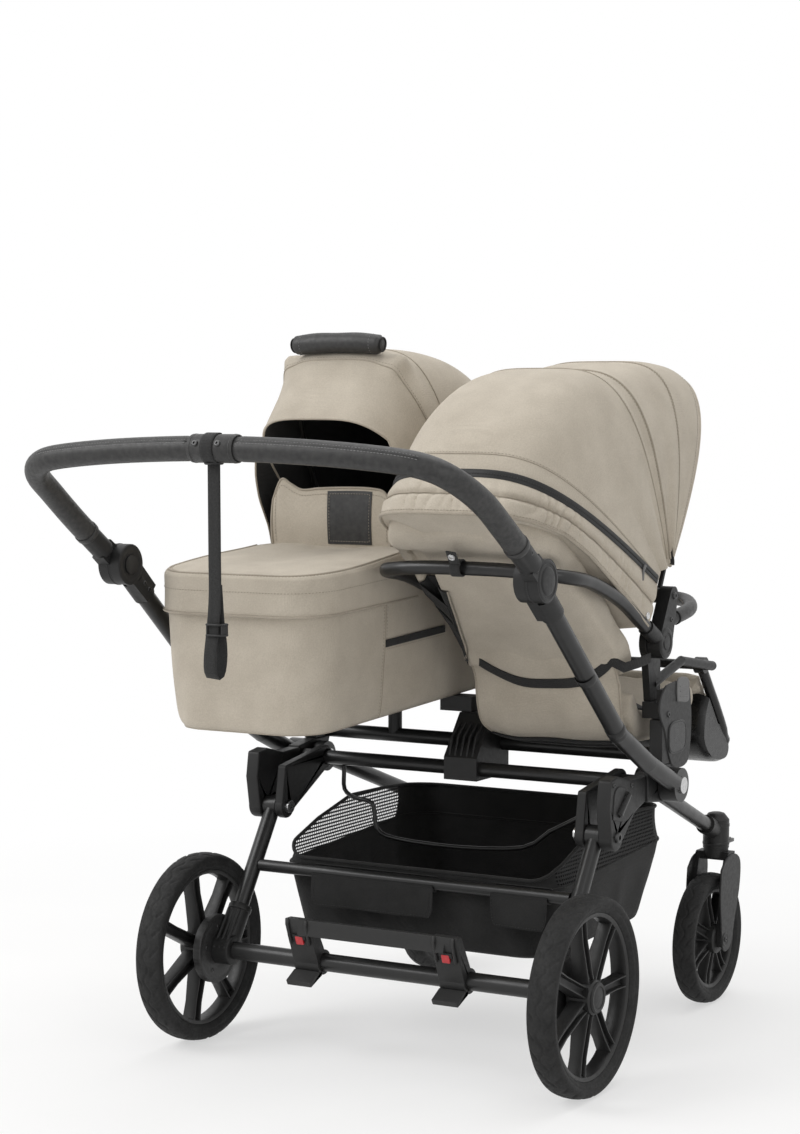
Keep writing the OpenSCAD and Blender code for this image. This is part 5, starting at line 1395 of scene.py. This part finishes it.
BAG_X = (31, 299)
BAG_COUNT = 60
bag_side = smooth([[200, 684], [219, 640], [238, 606], [243, 578], [250, 548], [268, 520], [304, 502],
                   [350, 494]], 5)
bag_rows = []
for i, (y, z) in enumerate(bag_side):
    t = i / (len(bag_side) - 1)
    draw = 4 + 22 * ease(t, 0.62, 1.0)
    x = np.linspace(BAG_X[0] + draw, BAG_X[1] - draw, BAG_COUNT)
    end = 1 - np.abs(np.linspace(-1, 1, BAG_COUNT)) ** 6
    crease = 2.6 * np.sin(x / 19 + 4 * t) * math.sin(math.pi * t) + 1.8 * np.sin(x / 43 - 9 * t)
    bag_rows.append(np.stack([x, y - (crease + 7) * end * 0.8, z - (crease + 7) * end * 0.5], 1))
bag_rows = np.array(bag_rows)
seat_sling = Piece("seat_bag", "beige_fabric", "black_fabric", "beige_piping", "thread", "webbing")
seat_sling.shell(bag_rows, 2.0)
for column in (0, -1):
    seat_sling.tube(bag_rows[:, column], 2.0, 8, ACROSS, PIPING)
bag_out = unit(np.cross(np.gradient(bag_rows, axis=0), np.gradient(bag_rows, axis=1)))
bag_down = unit(np.gradient(bag_rows, axis=0))
level = 3.5 + 6.5 * (1 - np.abs(np.linspace(-1, 1, BAG_COUNT)) ** 2.5)


def on_bag(values):
    """Values of the bag's grid along the line of the elastic."""
    return np.array([[np.interp(level[j], np.arange(len(values)), values[:, j, k]) for k in range(3)]
                     for j in range(BAG_COUNT)])


elastic = on_bag(bag_rows) + on_bag(bag_out) * 1.8
elastic = np.concatenate([[[8, 254, 646], [18, 232, 638]], elastic[1:-1],
                          [[309, 228, 635], [320, 262, 641], [325, 290, 646]]])
elastic_down = on_bag(bag_down)
elastic_down = np.concatenate([elastic_down[:1], elastic_down, elastic_down[-1:], elastic_down[-1:]])
seat_sling.strap(elastic, elastic_down, 17, 2.6, 4)
for base, width in ((-8, 15), (-5, 24)):
    seat_sling.strap(bag_rows[base] + bag_out[base] * 2.0, bag_down[base], width, 2.6, 1)
seat_sling.stitches(bag_rows[-7], (0, -0.5, -0.86), look=THREAD)
seat_bag = seat_sling.make(None, (), 60)
blend(seat_bag, (SEAT_X, 206, 654), (SEAT_X, 250, 552))


# Harness

belts = Piece("harness_belts", "webbing", "black_plastic", "red_plastic")
HARNESS_X = (CUSHION_X[0] + CUSHION_X[1]) / 2
belts.plate([[410, 557], [450, 557], [452, 563], [448, 571], [428, 574], [412, 571], [408, 563]],
            HARNESS_X - 22, HARNESS_X + 22, 4, 1)
belts.turned((HARNESS_X, 430, 572), (0, 0, 1), [(0, 11), (2.4, 10), (3, 8), (2.6, 0.05)], 28, 2)
belts.strap(smooth([[HARNESS_X, 428, 549], [HARNESS_X, 429, 553], [HARNESS_X, 430, 560]], 4), ACROSS, 22, 3)
for s in (-1, 1):
    belts.strap(smooth([[HARNESS_X + s * 16, 428, 563], [HARNESS_X + s * 50, 408, 562],
                        [HARNESS_X + s * 88, 376, 558], [HARNESS_X + s * 118, 350, 554]], 6), (0.4 * s, 1, 0),
                20, 2.4)
belts.make("seat_unit", ["harness"], 50)


# Bumper bar

BUMPER_X = 300.5
BUMPER_Z = 694.0
bumper_half = np.array([[BUMPER_X, 411, BUMPER_Z], [BUMPER_X, 440, BUMPER_Z + 5],
                        [BUMPER_X - 4, 510, BUMPER_Z + 14], [BUMPER_X - 40, 575, BUMPER_Z + 22],
                        [BUMPER_X - 90, 597, BUMPER_Z + 25], [SEAT_X, 602, BUMPER_Z + 26]])
bumper_line = even(smooth(np.concatenate([bumper_half, mirror_x(bumper_half, SEAT_X)[-2::-1]]), 8), 110)
bumper = Piece("bumper_sleeve", "leatherette", "black_plastic", "thread", "grey_plastic")
bumper.tube(bumper_line[6:-6], 12, 22, UP)
for part in (bumper_line[:9], bumper_line[-9:]):
    bumper.tube(part, 10.6, 18, UP, 1)
inner_side = unit(np.cross(UP, directions(bumper_line)))
bumper.tube((bumper_line + inner_side * 11.8)[8:-8], 0.8, 6, UP)
for k in (-0.25, 0.25):
    lean = unit(inner_side + UP * k)
    bumper.stitches((bumper_line + lean * 11.9)[8:-8], lean[8:-8], 6, 3.8, 0.55, 2)
for cut in (6, -7):
    bumper.turned(bumper_line[cut], directions(bumper_line)[cut],
                  [(-4, 11.6), (-3, 12.8), (3, 12.8), (4, 11.6)], 24, 1)
bumper.turned((BUMPER_X, 405, 682.2), (0, 0, 1), [(0, 4.4), (0, 10), (1.5, 11.5), (20, 11.5), (22, 10),
                                                  (22, 4.4), (0, 4.4)], 32, 1)
left_end = bumper_line[-1]
bumper.tube(np.array([[left_end[0], 377, left_end[2]], [left_end[0], 392, left_end[2]], left_end]), 10, 18,
            UP, 1)
bumper.make("bumper", ["bumper_bar"], 45)


# Basket

basket_low, basket_high = node_box("basket")
BASKET_Y, BASKET_Z = basket_low[1:]
BASKET_H = 118
basket_end = basket_high[1]
basket_rows = []
for half, rear, front, r0, r1, z, rise in (
        (222, 26, 64, 50, 60, 0, 0.02), (231, 12, 46, 50, 60, 5, 0.02), (235, 8, 40, 50, 60, 12, 0.02),
        (241, 4, 28, 46, 60, 38, 0.03), (247, 2, 16, 44, 60, 65, 0.04), (251, 1, 8, 42, 60, 92, 0.05),
        (254.5, 0, 0.5, 40, 60, 118, 0.06)):
    basket_rows.append(plan_ring(0, half, BASKET_Y + rear, basket_end - front, r0, r1, BASKET_Z + z, rise))
basket_rows = smooth(basket_rows, 4)
height = (basket_rows[..., 2] - BASKET_Z) / BASKET_H
belly = np.sin(math.pi * np.clip(height, 0, 1))
sag = 3.0 * np.sin(basket_rows[..., 0] / 37 + basket_rows[..., 1] / 29) * belly
basket_rows = basket_rows - unit((basket_rows - [0, 315, 230]) * [1, 1, 0]) * (np.abs(sag) + 0.2)[..., None]
rear_fold = 2.6 * np.sin(basket_rows[..., 0] / 27 + basket_rows[..., 2] / 33) * belly
basket_rows[..., 1] += np.abs(rear_fold) * (basket_rows[..., 1] < BASKET_Y + 40)
RIM = np.array([[90, 300], [120, 322], [203, 351], [309, 376], [420, 374], [540, 368]])
NET_Y = (112, 478)
rim_ring = basket_rows[-1].copy()
rim_ring[:, 2] = np.maximum(np.interp(rim_ring[:, 1], RIM[:, 0], RIM[:, 1]), rim_ring[:, 2] + 4)
rim_ring[:, 0] *= 0.975
upper_rows = np.array([basket_rows[-1] + (rim_ring - basket_rows[-1]) * t for t in np.linspace(0, 1, 9)])
upper_rows[..., 0] *= 1 - 0.012 * np.sin(math.pi * np.linspace(0, 1, 9))[:, None]
all_rows = np.concatenate([basket_rows, upper_rows[1:]])
bag = Piece("basket_bag", "black_fabric", "net", "thread")
for i in range(len(all_rows) - 1):
    for j in range(RING):
        k = (j + 1) % RING
        side_wall = abs(all_rows[i, j, 0]) > 225 and NET_Y[0] < all_rows[i, j, 1] < NET_Y[1]
        is_net = i >= len(basket_rows) - 1 and side_wall
        quad = [all_rows[i, j], all_rows[i, k], all_rows[i + 1, k], all_rows[i + 1, j]]
        bag.add(quad, [[0, 1, 2, 3]], 1 if is_net else 0)
floor_rows = np.array([all_rows[0], plan_ring(0, 110, 200, 420, 40, 40, BASKET_Z - 2, 0.01)])
floor_rows = np.concatenate([floor_rows, floor_rows[1:].mean(1, keepdims=True) + floor_rows[1:] * 0])
bag.grid(floor_rows, ring=True)
bag.tube(all_rows[-1], 3.0, 8, UP, 0, closed=True)
bag.tube(basket_rows[-1], 2.0, 8, UP, 0, closed=True)
basket_piece = bag.make(None, ["basket"], 60)
blend(basket_piece, (0, 105, 240), (0, 420, 240))

flaps = Piece("basket_flaps", "black_fabric", "webbing")
rows_of_flaps = []
BAR_ON_LEG = np.array([84.6, 285])
WRAP_R = 11.6
WRAP = 0.42
for x0, x1 in ((-181, 47), (152, 252)):
    rows = []
    for t in np.linspace(0, 1, 30):
        drop = max(0, (t - WRAP) / (1 - WRAP))
        tuck = 8 * drop**6
        u = np.linspace(x0 + tuck, x1 - tuck, 40)
        if t <= WRAP:
            a = math.radians(80 - 260 * t / WRAP)
            y, z = BAR_ON_LEG + WRAP_R * np.array([math.cos(a), math.sin(a)])
        else:
            y = 72.8 + 2.5 * np.sin(u / 21) * drop - 3 * drop
            z = 283.0 - 52 * drop
        rows.append(np.stack([u, y + 0 * u, z + 0 * u], 1))
    rows = np.array(rows)
    rows_of_flaps.append(rows)
    flaps.shell(rows, 1.8)
    edge = np.concatenate([rows[14:29, 1], rows[28, 2:-2], rows[28:13:-1, -2]]) - [0, 0.4, 0]
    flaps.stitches(edge, (0, -1, 0), 5, 3, 0.45, 1)
basket_flaps = flaps.make("rear_leg_frame", (), 60)


# Chassis details

details = Piece("chassis_details", "black_plastic", "dark_steel", "gloss_plastic")
LEG_PIVOT = np.array([145, 377.0])
HOUSING_X = node_box("suspension_housings")[1, 0]
HUB_X = node_box("hub_brackets")[1, 0]
HUB_HALF = 15
FORK_HALF = np.ptp(node_box("fork_right")[:, 0]) / 2
TRAIL = 32
SIDE_X = node_box("seat_frame")[1, 0]
RECLINER_HALF = 173.2
PEDAL_X = 134


def housing_detail(side, name):
    """A recess with a slot, and the screws, on the outside of a suspension housing."""
    out = ACROSS * side
    face = side * HOUSING_X
    recess = np.array([[-18, 30], [-8, 78], [40, 70], [60, 44], [34, 22]]) + LEG_PIVOT
    low, high = sorted((face - side * 0.6, face + side * 1.6))
    details.plate(closed(recess, 29), low, high, 1.0)
    slot = at_x(face + side * 1.2, LEG_PIVOT + [[2, 36], [34, 64]])
    details.tube(np.linspace(slot[0], slot[1], 6), 7, 16, out, 2)
    details.screw(np.array([face + side * 0.5, *LEG_PIVOT]), out, 9, 1)
    for dy, dz in ((-14, 84), (52, 76)):
        details.screw(np.array([face, *(LEG_PIVOT + [dy, dz])]), out, 4, 1)


both(housing_detail)
for x in (-22, -11, 0, 11, 22):
    details.plate([[254, 437], [252, 470], [262, 500], [290, 520], [292, 512], [268, 490], [260, 466],
                   [262, 440]], x - 1.6, x + 1.6, 0.6)
details.turned((0, 330, 535), (0, 0, 1), [(-1, 9), (0.6, 9), (1.2, 8), (1.2, 0.05)], 28)
details.make("frame", (), 40)


def hub_detail(side, name):
    """Ribs and a tab on the casting that joins a rear leg to its hub."""
    piece = Piece("hub_casting_" + name, "black_plastic", "dark_steel")
    up = unit(np.array([0, LEG_PIVOT[0], LEG_PIVOT[1] - REAR_R]))
    at = np.array([side * (HUB_X - HUB_HALF), 0, REAR_R])
    for shift in (-10, 0, 10):
        web = [at + ACROSS * shift + up * d + np.array([0, -k, 0])
               for d, k in ((8, 26), (34, 22), (62, 19), (76, 18))]
        piece.tube(np.array(web), 3.2, 8, ACROSS)
    piece.turned(at + up * 74, up, [(-6, 18), (-5, 19.6), (3, 19.6), (5, 18), (5, 13.2)], 32)
    piece.screw(at + up * 58 + np.array([0, -18.4, -2]), (0, -0.86, 0.5), 4, 1)
    piece.turned(at - ACROSS * side * HUB_HALF, -ACROSS * side, [(-1, 24.6), (1.4, 24), (2.4, 21),
                                                                (2.4, 15)], 40)
    piece.make("rear_leg_frame", (), 40)
    brake = Piece("drum_face_" + name, "drum_metal", "dark_steel")
    face = np.array([side * HUB_X, 0, REAR_R])
    brake.turned(face, -ACROSS * side, [(-0.4, 56.6), (0.5, 56), (0.9, 53), (0.2, 51), (0.2, 47), (0.8, 45),
                                        (0.8, 30), (0.1, 28), (0.1, 25)], 64)
    for k in range(5):
        a = 2 * math.pi * k / 5 + 0.4
        bolt = face + np.array([-side * 0.6, 38 * math.cos(a), 38 * math.sin(a)])
        brake.screw(bolt, -ACROSS * side, 3.4, 1)
    brake.make("rear_leg_frame", (), 40)


both(hub_detail)


def caster_detail(side, name):
    """Cap and rings of a caster housing; axle caps and cover plates of its fork."""
    at = np.array([side * FRONT_X, WHEELBASE + TRAIL, 0.0])
    piece = Piece("caster_cap_" + name, "black_plastic")
    piece.turned(at + UP * 328, UP, [(-6, 17.5), (2, 16.5), (5, 14), (6.5, 9), (7, 0.05)], 36)
    for z in (280, 312):
        piece.turned(at + UP * z, UP, [(-3, 23), (-2, 23.8), (2, 23.8), (3, 23)], 40)
    piece.make("front_leg_frame", (), 40)
    caps = Piece("axle_caps_" + name, "black_plastic", "dark_steel")
    hub = np.array([side * FRONT_X, WHEELBASE, FRONT_R])
    for s in (-1, 1):
        out = ACROSS * s
        caps.turned(hub + out * (FORK_HALF + 1.6), out, [(-0.5, 13), (1, 12.6), (2, 11), (1.4, 8),
                                                         (1.4, 0.05)], 28)
        caps.screw(hub + out * (FORK_HALF + 2.8), out, 4.4, 1)
    cover = closed([[642, 240], [664, 258], [700, 262], [726, 246], [724, 200], [704, 146], [690, 104],
                    [668, 92], [650, 102], [644, 140], [638, 196]], 59)
    for s in (-1, 1):
        x = hub[0] + s * (FORK_HALF + 0.5)
        caps.plate(cover, x - 1.8, x + 1.8, 1.2)
    caps.make("swivel_" + name, (), 40)


both(caster_detail)

recliner = Piece("recline_covers", "black_plastic", "dark_steel")
for side in (-1, 1):
    face = SEAT_X + side * RECLINER_HALF
    centre = np.array([face, *RECLINE])
    recliner.turned(centre, ACROSS * side, [(-0.6, 25), (0.8, 24), (1.6, 21), (1.6, 17), (0.6, 16), (0.6, 12),
                                            (2, 11), (2.4, 0.05)], 40)
    recliner.screw(np.array([face, RECLINE[0] + 30, RECLINE[1] + 74]), ACROSS * side, 6, 1)
    recliner.screw(np.array([face - side * 0.4, RECLINE[0] + 20, RECLINE[1] + 36]), ACROSS * side, 4, 1)
recliner.make("seat_back", (), 40)

side_body = Piece("seat_side_body", "black_plastic", "gloss_plastic", "grey_plastic", "dark_steel")
body_outline = closed([[318, 600], [362, 603], [404, 596], [416, 560], [418, 520], [410, 474], [392, 460],
                       [352, 462], [330, 480], [312, 524], [290, 556], [296, 584]], 59)
side_body.plate(body_outline, SIDE_X - 0.4, SIDE_X + 4, 1.6)
plate_at = np.array([359, 512.0])
plate_turn = circle(48)
plate_round = np.sign(plate_turn) * np.abs(plate_turn) ** 0.6
side_body.plate(plate_at + plate_round * [36, 27], SIDE_X + 3.4, SIDE_X + 5.6, 0.8, 1)
plate_rim = at_x(SIDE_X + 5.3, plate_at + plate_round * [33, 24.5])
side_body.tube(plate_rim, 0.9, 6, ACROSS, 0, closed=True)
slide = closed([[356, 570], [398, 566], [402, 584], [398, 604], [360, 608], [354, 590]], 39)
side_body.plate(slide, SIDE_X + 3.2, SIDE_X + 6.6, 1.2, 2)
for z in (578, 586, 594):
    side_body.tube(at_x(SIDE_X + 6.4, [[364, z], [378, z - 1], [392, z - 2]]), 1.2, 8, ACROSS, 2)
side_body.screw(np.array([SIDE_X + 3.8, 324, 552]), ACROSS, 5, 3)
side_body.make("seat_unit", (), 40)

brake_trim = Piece("brake_details", "dark_plastic", "black_plastic")
for side in (-1, 1):
    x = side * PEDAL_X
    for dx in (-17, 17):
        brake_trim.tube(np.array([[x + dx, -37, 190], [x + dx, -43, 205], [x + dx, -48, 222],
                                  [x + dx, -46.5, 231]]), 2.6, 10, ACROSS)
    brake_trim.strap(smooth([[x, -26, 196], [x, -38, 198], [x, -42, 206]], 4), ACROSS, 24, 1.6, 1)
brake_trim.make("brake", (), 45)


# Cut sizes of the sheets

def cut_size(rows, *more):
    """Width, length and area of a sheet laid flat, in metres, with the area of further panels."""
    rows = np.asarray(rows, float)
    across = np.linalg.norm(np.diff(rows, axis=1), axis=2).sum(1).max()
    along = np.linalg.norm(np.diff(rows, axis=0), axis=2).sum(0).max()
    area = sum(flat_area(r) for r in (rows, *more))
    across = max(across, area / along)
    return (across * MM, along * MM), min(area, across * along) * MM**2


def flat_area(rows):
    """Area of a grid of points, in square millimetres."""
    rows = np.asarray(rows, float)
    a, b = rows[1:, 1:] - rows[:-1, :-1], rows[1:, :-1] - rows[:-1, 1:]
    return np.linalg.norm(np.cross(a, b), axis=2).sum() / 2


def declare(o, held, rests_on, rows, *more):
    """Works out the flat size and area of a sheet from its modelled rows; nothing is done with them."""
    flat, area = cut_size(rows, *more)


declare(cot_canopy, "stretched", ["cot_hood_bow"], canopy_rows, wing, wing)
declare(seat_canopy, "stretched", ["seat_hood_bow"], seat_rows)
declare(gathered_band, "gathered", ["back_pad"], band_rows)
declare(apron_cover, "stretched", ["tub_cover"], np.concatenate([lid_rows, lid_rows[:, :1]], 1), flap_rows)
declare(basket_piece, "hung", ["basket_bar"], np.concatenate([all_rows, all_rows[:, :1]], 1), floor_rows)
declare(basket_flaps, "hung", ["basket_bar"], rows_of_flaps[0], rows_of_flaps[1])
declare(seat_bag, "hung", ["seat_frame"], bag_rows)


# Studio

def seen_by_eye(nodes, links):
    """1 for rays from the camera, in mirrors and through glass, and 0 for light that falls on the object."""
    rays = nodes.new("ShaderNodeLightPath")
    seen = rays.outputs["Is Camera Ray"]
    for kind in ("Is Glossy Ray", "Is Transmission Ray"):
        either = nodes.new("ShaderNodeMath")
        either.operation = "MAXIMUM"
        links.new(seen, either.inputs[0])
        links.new(rays.outputs[kind], either.inputs[1])
        seen = either.outputs[0]
    return seen


WHITE = (1, 1, 1, 1)
floor_look = Look("studio_floor", grey(0.9), 0.8)
floor_look.tint(floor_look.noise(0.4, 2), grey(0.88), grey(0.92))
away = floor_look.add("VectorMath", Vector=floor_look.coord)
away.operation = "LENGTH"
fade = floor_look.spread(away.outputs["Value"], 0.55, 1.0, 0.7, 2.2)
glow = floor_look.add("Emission", Color=WHITE, Strength=1.0)
share = floor_look.sum(fade, seen_by_eye(floor_look.nodes, floor_look.links), "MULTIPLY")
floor_mix = floor_look.nodes.new("ShaderNodeMixShader")
floor_look.links.new(share, floor_mix.inputs["Fac"])
floor_look.links.new(floor_look.shader.outputs[0], floor_mix.inputs[1])
floor_look.links.new(glow.outputs[0], floor_mix.inputs[2])
floor_look.links.new(floor_mix.outputs[0], floor_look.nodes["Material Output"].inputs["Surface"])
bpy.ops.mesh.primitive_plane_add(size=40, location=(0, 0, 0))
floor = bpy.context.object
floor.name = "studio_floor"
floor.data.materials.append(floor_look.mat)

world = bpy.data.worlds.new("studio")
scene.world = world
world.use_nodes = True
nodes, links = world.node_tree.nodes, world.node_tree.links
soft = nodes["Background"]
soft.inputs["Color"].default_value = (1.0, 0.985, 0.96, 1)
soft.inputs["Strength"].default_value = 0.55
backdrop = nodes.new("ShaderNodeBackground")
backdrop.inputs["Color"].default_value = WHITE
backdrop.inputs["Strength"].default_value = 1.0
pick = nodes.new("ShaderNodeMixShader")
links.new(seen_by_eye(nodes, links), pick.inputs["Fac"])
links.new(soft.outputs[0], pick.inputs[1])
links.new(backdrop.outputs[0], pick.inputs[2])
links.new(pick.outputs[0], nodes["World Output"].inputs["Surface"])


def area_light(name, at, to, size, power):
    data = bpy.data.lights.new(name, "AREA")
    data.shape = "RECTANGLE"
    data.size, data.size_y = size
    data.energy = power
    o = bpy.data.objects.new(name, data)
    o.location = at
    o.rotation_euler = (Vector(to) - Vector(at)).to_track_quat("-Z", "Y").to_euler()
    scene.collection.objects.link(o)


area_light("key", (-2.6, -2.6, 3.4), (0, 0, 0.5), (2.4, 2.4), 95)
area_light("fill", (3.2, -2.2, 2.0), (0, 0, 0.6), (2.0, 2.0), 20)
area_light("top", (0.2, 0.8, 4.0), (0, 0, 0.4), (3.0, 3.0), 55)
